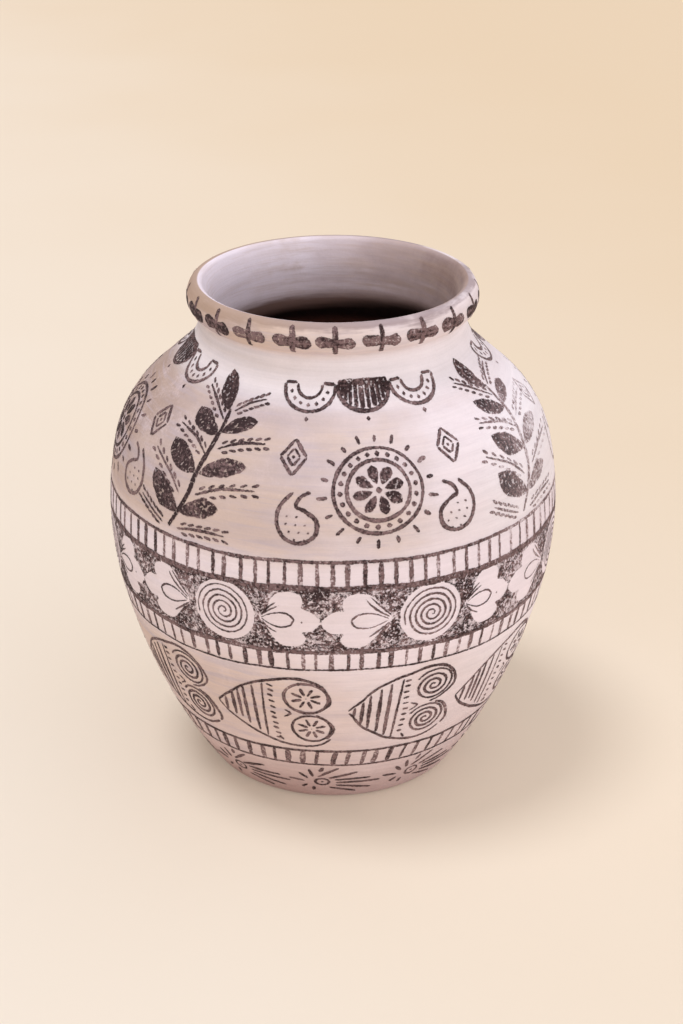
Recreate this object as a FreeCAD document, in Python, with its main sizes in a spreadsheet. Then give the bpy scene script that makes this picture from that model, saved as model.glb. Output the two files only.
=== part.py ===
"""Clay water pot with a quarter-turn tap, as a parametric FreeCAD document.

The pot is one hand-thrown earthenware shell: a flat foot, a wide belly, a short
neck and a thick rolled lip. A metal ball-valve tap is clamped through its wall
near the foot, on the +Y side. It is square to the wall there, so it leans down.

Frame: origin at the centre of the foot, +Z up, millimetres. The tap's pieces are
drawn along +X with their stem along +Z, and tap_placement() sets them on the wall.
"""

import FreeCAD, Part
import Sketcher
import math
import os
from types import SimpleNamespace

Vector = FreeCAD.Vector
Rotation = FreeCAD.Rotation
Placement = FreeCAD.Placement

DIMENSIONS = {
    # Outside of the wall, from the foot up. A heading is the direction of the profile
    # where an arc ends, in degrees from level, so 90 is a vertical wall.
    "foot_radius": 70.5,
    "foot_curve": 8.0,
    "foot_heading": 56.0,
    "lower_curve": 330.0,
    "lower_heading": 69.0,
    "middle_curve": 370.0,
    "middle_heading": 77.0,
    "belly_curve": 196.0,
    "belly_heading": 102.0,
    "shoulder_curve": 68.0,
    "shoulder_heading": 138.0,
    "neck_slope": 27.0,
    "neck_curve": 30.0,
    "neck_heading": 90.0,
    # Rolled lip, from the crease under it, over the crest and down into the throat.
    "lip_start_heading": 20.0,
    "bulge_curve": 10.72,
    "lip_face_curve": 13.0,
    "lip_face_heading": 125.0,
    "crest_curve": 4.0,
    "crest_heading": 240.0,
    "funnel_curve": 38.0,
    "throat_length": 7.5,
    # Inside of the wall, from the throat down to the floor.
    "inner_neck_curve": 27.0,
    "inner_neck_heading": 318.0,
    "inner_slope": 39.5,
    "inner_shoulder_curve": 42.0,
    "inner_shoulder_heading": 282.0,
    "inner_belly_curve": 176.0,
    "inner_belly_heading": 257.0,
    "inner_middle_curve": 390.0,
    "inner_middle_heading": 249.0,
    "inner_lower_curve": 295.0,
    "inner_lower_heading": 238.0,
    "inner_corner_curve": 26.0,
    # Where the tap goes through the wall: the seats are spot-faced flat on both sides.
    "tap_heading": 67.0,
    "tap_hole_radius": 8.5,
    "spot_face_radius": 16.5,
    "spot_face_depth": 1.3,
    "wall_between_faces": 7.3,
    # Clamping pieces on the shank.
    "shank_radius": 8.0,
    "shank_length": 31.0,
    "shank_chamfer": 0.8,
    "thread_pitch": 1.5,
    "thread_mouth": 1.2,
    "thread_depth": 0.7,
    "thread_overlap": 0.1,
    "thread_turns": 12.0,
    "gasket_radius": 15.0,
    "gasket_bore": 8.1,
    "gasket_thickness": 3.0,
    "washer_thickness": 1.5,
    "nut_across_flats": 24.0,
    "nut_thickness": 8.0,
    "nut_clearance": 0.05,
    "nut_bevel_share": 0.95,
    # Tap body.
    "flange_radius": 14.0,
    "flange_thickness": 3.5,
    "flange_fillet": 1.2,
    "flange_cone": 2.5,
    "neck_radius": 9.5,
    "barrel_radius": 12.5,
    "barrel_cone": 2.0,
    "barrel_wall": 0.5,
    "barrel_end": 36.0,
    "water_radius": 4.5,
    "chamber_radius": 10.0,
    "chamber_back": 13.0,
    "valve_centre": 22.0,
    "boss_radius": 9.0,
    "boss_height": 18.0,
    "boss_chamfer": 0.8,
    "lug_width": 3.2,
    "lug_inner": 9.2,
    "lug_outer": 12.2,
    "lug_height": 6.2,
    "rib_bottom": 5.0,
    "lug_bottom": 10.0,
    # Ball, its seats and its stem.
    "ball_radius": 8.0,
    "ball_clearance": 0.08,
    "ball_bore": 4.25,
    "seat_ring_thickness": 3.2,
    "press_gap": 0.05,
    "slot_width": 3.0,
    "slot_depth": 2.2,
    "tang_clearance": 0.1,
    "tang_reach": 3.6,
    "stem_radius": 4.0,
    "stem_bore": 4.08,
    "collar_radius": 5.5,
    "collar_bottom": 8.7,
    "collar_top": 10.5,
    "collar_clearance": 0.08,
    "pocket_radius": 6.0,
    "pocket_top": 11.2,
    "slip_gap": 0.1,
    "packing_floor": 12.6,
    "seal_section": 0.96,
    "gland_bottom": 15.0,
    "gland_across_flats": 15.0,
    "gland_head": 3.0,
    "square_bottom": 21.4,
    "square_size": 5.6,
    "square_top": 26.8,
    "screw_hole_radius": 1.6,
    "screw_radius": 1.55,
    "screw_length": 7.0,
    # Lever and its cap screw.
    "hub_radius": 8.2,
    "hub_top": 27.2,
    "hub_bevel": 1.5,
    "lever_length": 46.0,
    "lever_root_width": 10.0,
    "lever_tip_width": 13.0,
    "lever_thickness": 3.2,
    "lever_lift": 0.8,
    "lever_rise": 6.5,
    "lever_knee": 20.0,
    "knee_reach": 18.4,
    "widest_reach": 34.5,
    "tip_thinning": 0.6,
    "tip_corner": 6.4,
    "square_clearance": 0.05,
    "tab_width": 4.0,
    "tab_outer": 11.8,
    "tab_height": 2.6,
    "tab_turn": 24.0,
    "cap_radius": 4.6,
    "cap_height": 2.8,
    "cap_fillet": 2.0,
    "driver_slot_width": 1.0,
    "driver_slot_depth": 1.2,
    # Spout. Its last straight stretch takes a hose as far as the bead.
    "spigot_radius": 9.9,
    "spout_collar": 5.0,
    "collar_cone": 2.0,
    "collar_step": 3.0,
    "spout_radius": 7.0,
    "spout_lead": 3.0,
    "spout_bend": 15.0,
    "spout_drop": 12.0,
    "hose_length": 8.8,
    "bead_height": 0.8,
    "bead_slope": 0.8,
}

# Distances closer than this are taken as the same when an edge is looked for.
SAME = 0.01


class Size:
    """A number with the sheet expression that gives it, so that sums keep both in step."""

    def __init__(self, number, text=None):
        self.number = float(number)
        self.text = text or f"({self.number!r})"

    @staticmethod
    def of(value):
        return value if isinstance(value, Size) else Size(value)

    def __add__(self, other):
        other = Size.of(other)
        return Size(self.number + other.number, f"({self.text} + {other.text})")

    def __sub__(self, other):
        other = Size.of(other)
        return Size(self.number - other.number, f"({self.text} - {other.text})")

    def __mul__(self, other):
        other = Size.of(other)
        return Size(self.number * other.number, f"({self.text} * {other.text})")

    def __truediv__(self, other):
        other = Size.of(other)
        return Size(self.number / other.number, f"({self.text} / {other.text})")

    def __rsub__(self, other):
        return Size.of(other) - self

    def __neg__(self):
        return self * -1

    __radd__ = __add__
    __rmul__ = __mul__


doc = FreeCAD.newDocument("clay_water_pot")
sheet = doc.addObject("Spreadsheet::Sheet", "Sheet")
for row, (alias, number) in enumerate(DIMENSIONS.items(), start=1):
    sheet.set(f"A{row}", alias.replace("_", " "))
    sheet.set(f"B{row}", str(number))
    sheet.setAlias(f"B{row}", alias)
doc.recompute()

dim = SimpleNamespace(**{
    alias: Size(number, f"Sheet.{alias}") for alias, number in DIMENSIONS.items()
})
parts = []

# Faces of the clamped stack and of the valve, along the tap's axis from the wall's surface.
outer_face = -dim.spot_face_depth
inner_face = outer_face - dim.wall_between_faces
flange_back = outer_face + dim.gasket_thickness
washer_face = inner_face - dim.gasket_thickness
nut_face = washer_face - dim.washer_thickness
front_seat_end = dim.valve_centre * 2 - dim.chamber_back
spout_face = dim.barrel_end + dim.spout_collar

# How far a feature runs into the one it joins, and a cut past the face that it leaves by.
margin = Size(1.0)


def new_body(label):
    """An empty body whose Label is the sub-part's name, put on the export list."""
    body = doc.addObject("PartDesign::Body", label)
    body.Label = label
    parts.append(body)
    return body


def new_sketch(body, name, plane, across=0, up=0, out=0, turn=0):
    """A sketch on one of the body's origin planes, moved in it and out of it, and turned in it."""
    sketch = body.newObject("Sketcher::SketchObject", name)
    origin_plane = [f for f in body.Origin.OriginFeatures if f.Role == plane][0]
    sketch.AttachmentSupport = [(origin_plane, "")]
    sketch.MapMode = "FlatFace"
    moves = [Size.of(value) for value in (across, up, out)]
    place = Vector(*(move.number for move in moves))
    sketch.AttachmentOffset = Placement(place, Rotation(Vector(0, 0, 1), turn))
    for axis, move in zip("xyz", moves):
        if "Sheet." in move.text:
            sketch.setExpression(f"AttachmentOffset.Base.{axis}", move.text)
    return sketch


def bind(sketch, constraint, value, unit=""):
    """Adds a dimension and ties it to the sheet."""
    sketch.setExpression(f"Constraints[{sketch.addConstraint(constraint)}]", value.text + unit)


def place_point(sketch, geometry, end, across, up):
    """Holds a point of the sketch at the coordinates that two sizes give."""
    for kind, value, axis in (("DistanceX", across, -2), ("DistanceY", up, -1)):
        value = Size.of(value)
        if not value.number:
            sketch.addConstraint(Sketcher.Constraint("PointOnObject", geometry, end, axis))
        else:
            held = Sketcher.Constraint(kind, -1, 1, geometry, end, value.number)
            bind(sketch, held, value)


def polygon(sketch, corners):
    """A closed outline of straight lines through corners given as pairs of sizes."""
    points = [Vector(Size.of(x).number, Size.of(y).number, 0) for x, y in corners]
    count = len(points)
    first = len(sketch.Geometry)
    for i in range(count):
        sketch.addGeometry(Part.LineSegment(points[i], points[(i + 1) % count]), False)
    for i in range(count):
        following = first + (i + 1) % count
        sketch.addConstraint(Sketcher.Constraint("Coincident", first + i, 2, following, 1))
    for i, (across, up) in enumerate(corners):
        place_point(sketch, first + i, 1, across, up)
    return sketch


def rectangle(sketch, left, right, low, high):
    return polygon(sketch, [(left, low), (right, low), (right, high), (left, high)])


def square(sketch, side):
    return rectangle(sketch, -side / 2, side / 2, -side / 2, side / 2)


def circle(sketch, radius):
    """A full circle about the sketch's own origin."""
    index = sketch.addGeometry(Part.Circle(Vector(), Vector(0, 0, 1), radius.number), False)
    bind(sketch, Sketcher.Constraint("Radius", index, radius.number), radius)
    sketch.addConstraint(Sketcher.Constraint("Coincident", index, 3, -1, 1))
    return sketch


def hexagon(sketch, across_flats):
    """A regular hexagon about the sketch's origin."""
    half = across_flats / 2
    corner = across_flats / math.sqrt(3)
    return polygon(sketch, [
        (corner, 0), (corner / 2, half), (-corner / 2, half),
        (-corner, 0), (-corner / 2, -half), (corner / 2, -half),
    ])


def corner_cut(face, inward, across_flats):
    """Corners, along and out, of a turned cut that bevels a nut's corners at 30 degrees."""
    slope = math.sqrt(3)
    bevel_radius = across_flats / 2 * dim.nut_bevel_share
    return [
        (face - margin * inward, bevel_radius - margin * slope),
        (face - margin * inward, across_flats),
        (face + (across_flats - bevel_radius) / slope * inward, across_flats),
    ]


def revolve(body, sketch, axis, cut=False):
    """Turns a sketch about one of its own axes, as material or as a cut."""
    kind = "PartDesign::Groove" if cut else "PartDesign::Revolution"
    feature = body.newObject(kind, sketch.Name + "_turned")
    feature.Profile = sketch
    feature.ReferenceAxis = (sketch, [axis])
    feature.Angle = 360
    doc.recompute()
    return feature


def extrude(body, sketch, length, cut=False, reverse=False, both=False):
    """Pads or pockets a sketch. A pocket goes into its plane, and reverse turns it round."""
    kind = "PartDesign::Pocket" if cut else "PartDesign::Pad"
    feature = body.newObject(kind, sketch.Name + "_pulled")
    feature.Profile = sketch
    feature.setExpression("Length", Size.of(length).text)
    feature.Reversed = reverse
    if both:
        feature.SideType = "Symmetric"
    doc.recompute()
    return feature


def dress(body, kind, base, edges, amount):
    """A fillet or chamfer on the named edges of a feature."""
    feature = body.newObject(f"PartDesign::{kind}", f"{base.Name}_{kind.lower()}")
    feature.Base = (base, edges)
    feature.setExpression("Radius" if kind == "Fillet" else "Size", amount.text)
    doc.recompute()
    return feature


def find_edges(feature, wanted):
    """Names of the feature's edges that the test accepts."""
    edges = enumerate(feature.Shape.Edges, start=1)
    return [f"Edge{number}" for number, edge in edges if wanted(edge)]


def is_circle(edge, radius, axis, place):
    """Whether an edge is round, of that radius, at that place along the axis."""
    if not isinstance(edge.Curve, Part.Circle):
        return False
    centre = getattr(edge.Curve.Center, axis)
    return abs(edge.Curve.Radius - radius.number) < SAME and abs(centre - place.number) < SAME


# The wall as two tangent chains, up its outside and then over the lip and down its inside.
# Each piece has its kind, its radius or length, and its heading at its start and its end.
OUTER_WALL = [
    ("arc", dim.foot_curve, Size(0), dim.foot_heading),
    ("arc", dim.lower_curve, dim.foot_heading, dim.lower_heading),
    ("arc", dim.middle_curve, dim.lower_heading, dim.middle_heading),
    ("arc", dim.belly_curve, dim.middle_heading, dim.belly_heading),
    ("arc", dim.shoulder_curve, dim.belly_heading, dim.shoulder_heading),
    ("line", dim.neck_slope, dim.shoulder_heading, dim.shoulder_heading),
    ("arc", dim.neck_curve, dim.shoulder_heading, dim.neck_heading),
]
LIP_AND_INSIDE = [
    ("arc", dim.bulge_curve, dim.lip_start_heading, dim.neck_heading),
    ("arc", dim.lip_face_curve, dim.neck_heading, dim.lip_face_heading),
    ("arc", dim.crest_curve, dim.lip_face_heading, dim.crest_heading),
    ("arc", dim.funnel_curve, dim.crest_heading, Size(270)),
    ("line", dim.throat_length, Size(270), Size(270)),
    ("arc", dim.inner_neck_curve, Size(270), dim.inner_neck_heading),
    ("line", dim.inner_slope, dim.inner_neck_heading, dim.inner_neck_heading),
    ("arc", dim.inner_shoulder_curve, dim.inner_neck_heading, dim.inner_shoulder_heading),
    ("arc", dim.inner_belly_curve, dim.inner_shoulder_heading, dim.inner_belly_heading),
    ("arc", dim.inner_middle_curve, dim.inner_belly_heading, dim.inner_middle_heading),
    ("arc", dim.inner_lower_curve, dim.inner_middle_heading, dim.inner_lower_heading),
    ("arc", dim.inner_corner_curve, dim.inner_lower_heading, Size(180)),
]


def direction(degrees):
    return Vector(math.cos(math.radians(degrees)), math.sin(math.radians(degrees)), 0)


def step_along(point, kind, amount, start, end):
    """One piece of a tangent chain: its geometry, whether it turns left, and its far end."""
    if kind == "line":
        far = point + direction(start) * amount
        return Part.LineSegment(point, far), True, far
    left = end > start
    side = 90 if left else -90
    centre = point + direction(start + side) * amount
    far = centre - direction(end + side) * amount
    low, high = (start - 90, end - 90) if left else (end + 90, start + 90)
    whole = Part.Circle(centre, Vector(0, 0, 1), amount)
    return Part.ArcOfCircle(whole, math.radians(low), math.radians(high)), left, far


def add_chain(sketch, point, chain, previous, smooth_start):
    """Draws tangent arcs and lines, each held by its radius and sweep, or by its length."""
    for number, (kind, amount, start, end) in enumerate(chain):
        piece, left, point = step_along(point, kind, amount.number, start.number, end.number)
        index = sketch.addGeometry(piece, False)
        near, far = (1, 2) if left else (2, 1)
        joint = "Tangent" if number or smooth_start else "Coincident"
        sketch.addConstraint(Sketcher.Constraint(joint, *previous, index, near))
        if kind == "line":
            bind(sketch, Sketcher.Constraint("Distance", index, amount.number), amount)
        else:
            bind(sketch, Sketcher.Constraint("Radius", index, amount.number), amount)
            sweep = end - start if left else start - end
            held = Sketcher.Constraint("Angle", index, math.radians(sweep.number))
            bind(sketch, held, sweep, " * 1 deg")
        previous = (index, far)
    return point, previous


def wall_at(heading):
    """Radius and height of the outer wall where it has that heading."""
    point = Vector(dim.foot_radius.number, 0, 0)
    for kind, amount, start, end in OUTER_WALL:
        if start.number <= heading <= end.number:
            return step_along(point, kind, amount.number, start.number, heading)[2]
        point = step_along(point, kind, amount.number, start.number, end.number)[2]
    raise ValueError(f"the wall never has a heading of {heading}")


def make_clay_pot():
    """The thrown shell, with the tap's hole and a flat spot face on each side of the wall."""
    body = new_body("clay_pot")
    wall = new_sketch(body, "wall_profile", "XZ_Plane")
    foot_edge = Vector(dim.foot_radius.number, 0, 0)
    foot = wall.addGeometry(Part.LineSegment(Vector(), foot_edge), False)
    wall.addConstraint(Sketcher.Constraint("Coincident", foot, 1, -1, 1))
    wall.addConstraint(Sketcher.Constraint("Horizontal", foot))
    held = Sketcher.Constraint("Distance", foot, dim.foot_radius.number)
    bind(wall, held, dim.foot_radius)
    crease, last = add_chain(wall, foot_edge, OUTER_WALL, (foot, 2), True)
    bulge = len(wall.Geometry)
    floor_edge, last = add_chain(wall, crease, LIP_AND_INSIDE, last, False)
    # The lip's widest point is level with the centre of its lower arc.
    wall.addConstraint(Sketcher.Constraint("Horizontal", bulge, 3, bulge, 2))
    floor_centre = Vector(0, floor_edge.y, 0)
    floor = wall.addGeometry(Part.LineSegment(floor_edge, floor_centre), False)
    wall.addConstraint(Sketcher.Constraint("Tangent", *last, floor, 1))
    wall.addConstraint(Sketcher.Constraint("PointOnObject", floor, 2, -2))
    axis = wall.addGeometry(Part.LineSegment(floor_centre, Vector()), False)
    wall.addConstraint(Sketcher.Constraint("Coincident", floor, 2, axis, 1))
    wall.addConstraint(Sketcher.Constraint("Coincident", axis, 2, -1, 1))
    revolve(body, wall, "V_Axis")

    seat = wall_at(dim.tap_heading.number)
    lean = dim.tap_heading.number - 90
    hole = new_sketch(body, "tap_hole", "YZ_Plane", seat.x, seat.y, turn=lean)
    outside = outer_face + dim.tap_hole_radius
    inside = inner_face - dim.tap_hole_radius
    polygon(hole, [
        (outside, 0),
        (outside, dim.spot_face_radius),
        (outer_face, dim.spot_face_radius),
        (outer_face, dim.tap_hole_radius),
        (inner_face, dim.tap_hole_radius),
        (inner_face, dim.spot_face_radius),
        (inside, dim.spot_face_radius),
        (inside, 0),
    ])
    revolve(body, hole, "H_Axis", cut=True)


def tap_placement():
    """Local +X goes out through the wall, square to it, and local +Z along the stem."""
    seat = wall_at(dim.tap_heading.number)
    lean = Rotation(Vector(1, 0, 0), dim.tap_heading.number - 90)
    outward = Rotation(Vector(0, 0, 1), 90)
    return Placement(Vector(0, seat.x, seat.y), lean.multiply(outward))


def make_ring(label, bore, radius, start, end):
    """A flat ring about the tap's axis: a gasket, a washer or a valve seat."""
    body = new_body(label)
    section = new_sketch(body, label + "_section", "XZ_Plane")
    rectangle(section, start, end, bore, radius)
    revolve(body, section, "H_Axis")
    return body


def make_back_nut():
    """Hexagon nut that pulls the tap tight from inside, chamfered on its free face."""
    body = new_body("back_nut")
    free_face = nut_face - dim.nut_thickness
    outline = new_sketch(body, "nut_hexagon", "YZ_Plane", out=free_face)
    hexagon(outline, dim.nut_across_flats)
    extrude(body, outline, dim.nut_thickness)
    corners = new_sketch(body, "nut_bevel", "XZ_Plane")
    polygon(corners, corner_cut(free_face, 1, dim.nut_across_flats))
    revolve(body, corners, "H_Axis", cut=True)
    bore = new_sketch(body, "nut_bore", "XZ_Plane")
    bore_radius = dim.shank_radius + dim.nut_clearance
    rectangle(bore, free_face - margin, nut_face + margin, 0, bore_radius)
    revolve(body, bore, "H_Axis", cut=True)


def make_tap_body():
    """Shank, flange, barrel and stem boss in one casting, bored for the ball and the stem."""
    body = new_body("tap_body")
    flange_front = flange_back + dim.flange_thickness
    barrel_start = dim.chamber_back - dim.barrel_wall
    outline = new_sketch(body, "body_outline", "XZ_Plane")
    polygon(outline, [
        (-dim.shank_length, 0),
        (-dim.shank_length, dim.shank_radius - dim.shank_chamfer),
        (dim.shank_chamfer - dim.shank_length, dim.shank_radius),
        (flange_back, dim.shank_radius),
        (flange_back, dim.flange_radius),
        (flange_front, dim.flange_radius),
        (flange_front + dim.flange_cone, dim.neck_radius),
        (barrel_start - dim.barrel_cone, dim.neck_radius),
        (barrel_start, dim.barrel_radius),
        (dim.barrel_end, dim.barrel_radius),
        (dim.barrel_end, 0),
    ])
    turned = revolve(body, outline, "H_Axis")
    rim = find_edges(turned, lambda edge: is_circle(edge, dim.flange_radius, "x", flange_front))
    dress(body, "Fillet", turned, rim, dim.flange_fillet)

    boss = new_sketch(body, "stem_boss", "XY_Plane", dim.valve_centre)
    circle(boss, dim.boss_radius)
    pad = extrude(body, boss, dim.boss_height)
    top = find_edges(pad, lambda edge: is_circle(edge, dim.boss_radius, "z", dim.boss_height))
    dress(body, "Chamfer", pad, top, dim.boss_chamfer)

    # Stop lug on the wall's side: a rib up the boss, and a head that clears the gland nut.
    half = dim.lug_width / 2
    rib = new_sketch(body, "stop_rib", "XY_Plane", dim.valve_centre, out=dim.rib_bottom)
    rectangle(rib, -dim.lug_outer, margin - dim.boss_radius, -half, half)
    extrude(body, rib, dim.boss_height - dim.boss_chamfer - dim.rib_bottom)
    head = new_sketch(body, "stop_head", "XY_Plane", dim.valve_centre, out=dim.lug_bottom)
    rectangle(head, -dim.lug_outer, -dim.lug_inner, -half, half)
    extrude(body, head, dim.boss_height + dim.lug_height - dim.lug_bottom)

    water = new_sketch(body, "water_way", "XZ_Plane")
    polygon(water, [
        (-dim.shank_length - margin, 0),
        (-dim.shank_length - margin, dim.water_radius),
        (dim.chamber_back, dim.water_radius),
        (dim.chamber_back, dim.chamber_radius),
        (dim.barrel_end + margin, dim.chamber_radius),
        (dim.barrel_end + margin, 0),
    ])
    revolve(body, water, "H_Axis", cut=True)

    stem_way = new_sketch(body, "stem_way", "XZ_Plane", dim.valve_centre)
    polygon(stem_way, [
        (0, 0),
        (dim.pocket_radius, 0),
        (dim.pocket_radius, dim.pocket_top),
        (dim.stem_bore, dim.pocket_top),
        (dim.stem_bore, dim.packing_floor),
        (dim.pocket_radius, dim.packing_floor),
        (dim.pocket_radius, dim.boss_height + margin),
        (0, dim.boss_height + margin),
    ])
    revolve(body, stem_way, "V_Axis", cut=True)

    thread = new_sketch(body, "thread_groove", "XZ_Plane")
    start = dim.thread_pitch - dim.shank_length
    polygon(thread, [
        (start, dim.shank_radius + dim.thread_overlap),
        (start + dim.thread_mouth, dim.shank_radius + dim.thread_overlap),
        (start + dim.thread_mouth / 2, dim.shank_radius - dim.thread_depth),
    ])
    groove = revolve(body, thread, "H_Axis", cut=True)
    pattern = body.newObject("PartDesign::LinearPattern", "thread")
    pattern.Originals = [groove]
    pattern.Direction = (thread, ["H_Axis"])
    pattern.setExpression("Length", (dim.thread_pitch * (dim.thread_turns - 1)).text)
    pattern.setExpression("Occurrences", dim.thread_turns.text)
    body.Tip = pattern
    doc.recompute()


def make_ball_seat(label, start, end):
    """Seat ring whose inner face is hollowed to the ball."""
    body = make_ring(label, dim.water_radius, dim.chamber_radius - dim.press_gap, start, end)
    hollow = body.newObject("PartDesign::SubtractiveSphere", label + "_hollow")
    hollow.setExpression("Radius", (dim.ball_radius + dim.ball_clearance).text)
    hollow.Placement = Placement(Vector(dim.valve_centre.number, 0, 0), Rotation())
    doc.recompute()


def make_ball():
    """Ball, closed at rest: its bore lies across the flow, and its slot takes the stem."""
    body = new_body("valve_ball")
    ball = body.newObject("PartDesign::AdditiveSphere", "ball")
    ball.setExpression("Radius", dim.ball_radius.text)
    ball.Placement = Placement(Vector(dim.valve_centre.number, 0, 0), Rotation())
    doc.recompute()
    bore = new_sketch(body, "ball_bore", "XZ_Plane", dim.valve_centre)
    circle(bore, dim.ball_bore)
    extrude(body, bore, (dim.ball_radius + margin) * 2, cut=True, both=True)
    slot = new_sketch(body, "ball_slot", "XY_Plane", dim.valve_centre, out=dim.ball_radius)
    half = dim.slot_width / 2
    rectangle(slot, -half, half, -dim.ball_radius, dim.ball_radius)
    extrude(body, slot, dim.slot_depth, cut=True)


def make_stem():
    """Stem with a tang for the ball, a retaining collar and a square for the lever."""
    body = new_body("valve_stem")
    outline = new_sketch(body, "stem_outline", "XZ_Plane", dim.valve_centre)
    polygon(outline, [
        (0, dim.collar_bottom),
        (dim.collar_radius, dim.collar_bottom),
        (dim.collar_radius, dim.collar_top),
        (dim.stem_radius, dim.collar_top),
        (dim.stem_radius, dim.square_bottom),
        (0, dim.square_bottom),
    ])
    revolve(body, outline, "V_Axis")
    tang_bottom = dim.ball_radius - dim.slot_depth + dim.tang_clearance
    tang = new_sketch(body, "tang", "XY_Plane", dim.valve_centre, out=tang_bottom)
    half = dim.slot_width / 2 - dim.tang_clearance
    rectangle(tang, -half, half, -dim.tang_reach, dim.tang_reach)
    extrude(body, tang, dim.collar_bottom - tang_bottom + margin)
    top = new_sketch(body, "lever_square", "XY_Plane", dim.valve_centre, out=dim.square_bottom)
    square(top, dim.square_size)
    extrude(body, top, dim.square_top - dim.square_bottom)
    hole = new_sketch(body, "screw_hole", "XY_Plane", dim.valve_centre, out=dim.square_top)
    circle(hole, dim.screw_hole_radius)
    extrude(body, hole, dim.screw_length, cut=True)


def make_thrust_washer():
    """Slip washer between the stem's collar and the roof of its pocket."""
    body = new_body("thrust_washer")
    section = new_sketch(body, "thrust_section", "XZ_Plane", dim.valve_centre)
    low = dim.collar_top + dim.collar_clearance
    rectangle(section, dim.stem_bore, dim.pocket_radius - dim.slip_gap, low, dim.pocket_top)
    revolve(body, section, "V_Axis")


def make_stem_seal():
    """O-ring round the stem, on the floor of the packing pocket."""
    ring = doc.addObject("Part::Torus", "stem_seal")
    ring.Label = "stem_seal"
    ring.setExpression("Radius1", ((dim.stem_radius + dim.pocket_radius) / 2).text)
    ring.setExpression("Radius2", dim.seal_section.text)
    height = dim.packing_floor + dim.seal_section + dim.press_gap
    ring.Placement = Placement(Vector(dim.valve_centre.number, 0, height.number), Rotation())
    doc.recompute()
    parts.append(ring)


def make_gland_nut():
    """Nut that closes the packing: a screwed end under a hexagon, with a running bore."""
    body = new_body("gland_nut")
    top = dim.boss_height + dim.gland_head
    outline = new_sketch(body, "gland_hexagon", "XY_Plane", dim.valve_centre, out=dim.boss_height)
    hexagon(outline, dim.gland_across_flats)
    extrude(body, outline, dim.gland_head)
    screwed = new_sketch(body, "gland_screwed_end", "XZ_Plane", dim.valve_centre)
    screwed_radius = dim.pocket_radius - dim.press_gap
    rectangle(screwed, 0, screwed_radius, dim.gland_bottom, dim.boss_height + margin)
    revolve(body, screwed, "V_Axis")
    corners = new_sketch(body, "gland_bevel", "XZ_Plane", dim.valve_centre)
    polygon(corners, [(out, up) for up, out in corner_cut(top, -1, dim.gland_across_flats)])
    revolve(body, corners, "V_Axis", cut=True)
    bore = new_sketch(body, "gland_bore", "XZ_Plane", dim.valve_centre)
    rectangle(bore, 0, dim.stem_bore, dim.gland_bottom - margin, top + margin)
    revolve(body, bore, "V_Axis", cut=True)


def make_lever():
    """Cast lever: a hub on the stem's square, and a blade that widens and rises to its tip."""
    body = new_body("lever_handle")
    low = dim.square_bottom + dim.lever_lift
    high = low + dim.lever_thickness
    side = new_sketch(body, "blade_side", "YZ_Plane", out=dim.valve_centre)
    polygon(side, [
        (0, low),
        (-dim.knee_reach, low),
        (-dim.lever_length, low + dim.lever_rise),
        (-dim.lever_length, high + dim.lever_rise - dim.tip_thinning),
        (-dim.knee_reach, high),
        (0, high),
    ])
    blade = extrude(body, side, dim.lever_tip_width, both=True)
    knees = find_edges(blade, lambda edge: (
        abs(edge.BoundBox.Center.y + dim.knee_reach.number) < SAME
        and edge.BoundBox.XLength > dim.lever_root_width.number
    ))
    bent = dress(body, "Fillet", blade, knees, dim.lever_knee)
    tips = find_edges(bent, lambda edge: (
        abs(edge.BoundBox.Center.y + dim.lever_length.number) < SAME
        and edge.BoundBox.XLength < SAME
    ))
    dress(body, "Fillet", bent, tips, dim.tip_corner)
    half_width = dim.lever_tip_width / 2
    for name, hand in (("left_taper", -1), ("right_taper", 1)):
        taper = new_sketch(body, name, "XY_Plane", dim.valve_centre, out=low - margin)
        polygon(taper, [
            (dim.lever_root_width / 2 * hand, margin),
            ((half_width + margin) * hand, margin),
            ((half_width + margin) * hand, -dim.widest_reach),
            (half_width * hand, -dim.widest_reach),
        ])
        depth = dim.lever_thickness + dim.lever_rise + margin * 2
        extrude(body, taper, depth, cut=True, reverse=True)
    hub = new_sketch(body, "hub_outline", "XZ_Plane", dim.valve_centre)
    polygon(hub, [
        (0, dim.square_bottom),
        (dim.hub_radius, dim.square_bottom),
        (dim.hub_radius, dim.hub_top - dim.hub_bevel),
        (dim.hub_radius - dim.hub_bevel, dim.hub_top),
        (0, dim.hub_top),
    ])
    revolve(body, hub, "V_Axis")
    hole = new_sketch(body, "square_hole", "XY_Plane", dim.valve_centre, out=dim.hub_top)
    square(hole, dim.square_size + dim.square_clearance * 2)
    extrude(body, hole, dim.hub_top - dim.square_bottom + margin, cut=True)

    # Two tabs on the hub meet the stop lug, one at each end of the quarter turn.
    turns = {"closed_tab": 180 + dim.tab_turn.number, "open_tab": 90 - dim.tab_turn.number}
    for name, turn in turns.items():
        tab = new_sketch(body, name, "XY_Plane", dim.valve_centre, 0, dim.square_bottom, turn)
        half = dim.tab_width / 2
        rectangle(tab, dim.hub_radius - margin, dim.tab_outer, -half, half)
        extrude(body, tab, dim.tab_height)


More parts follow.
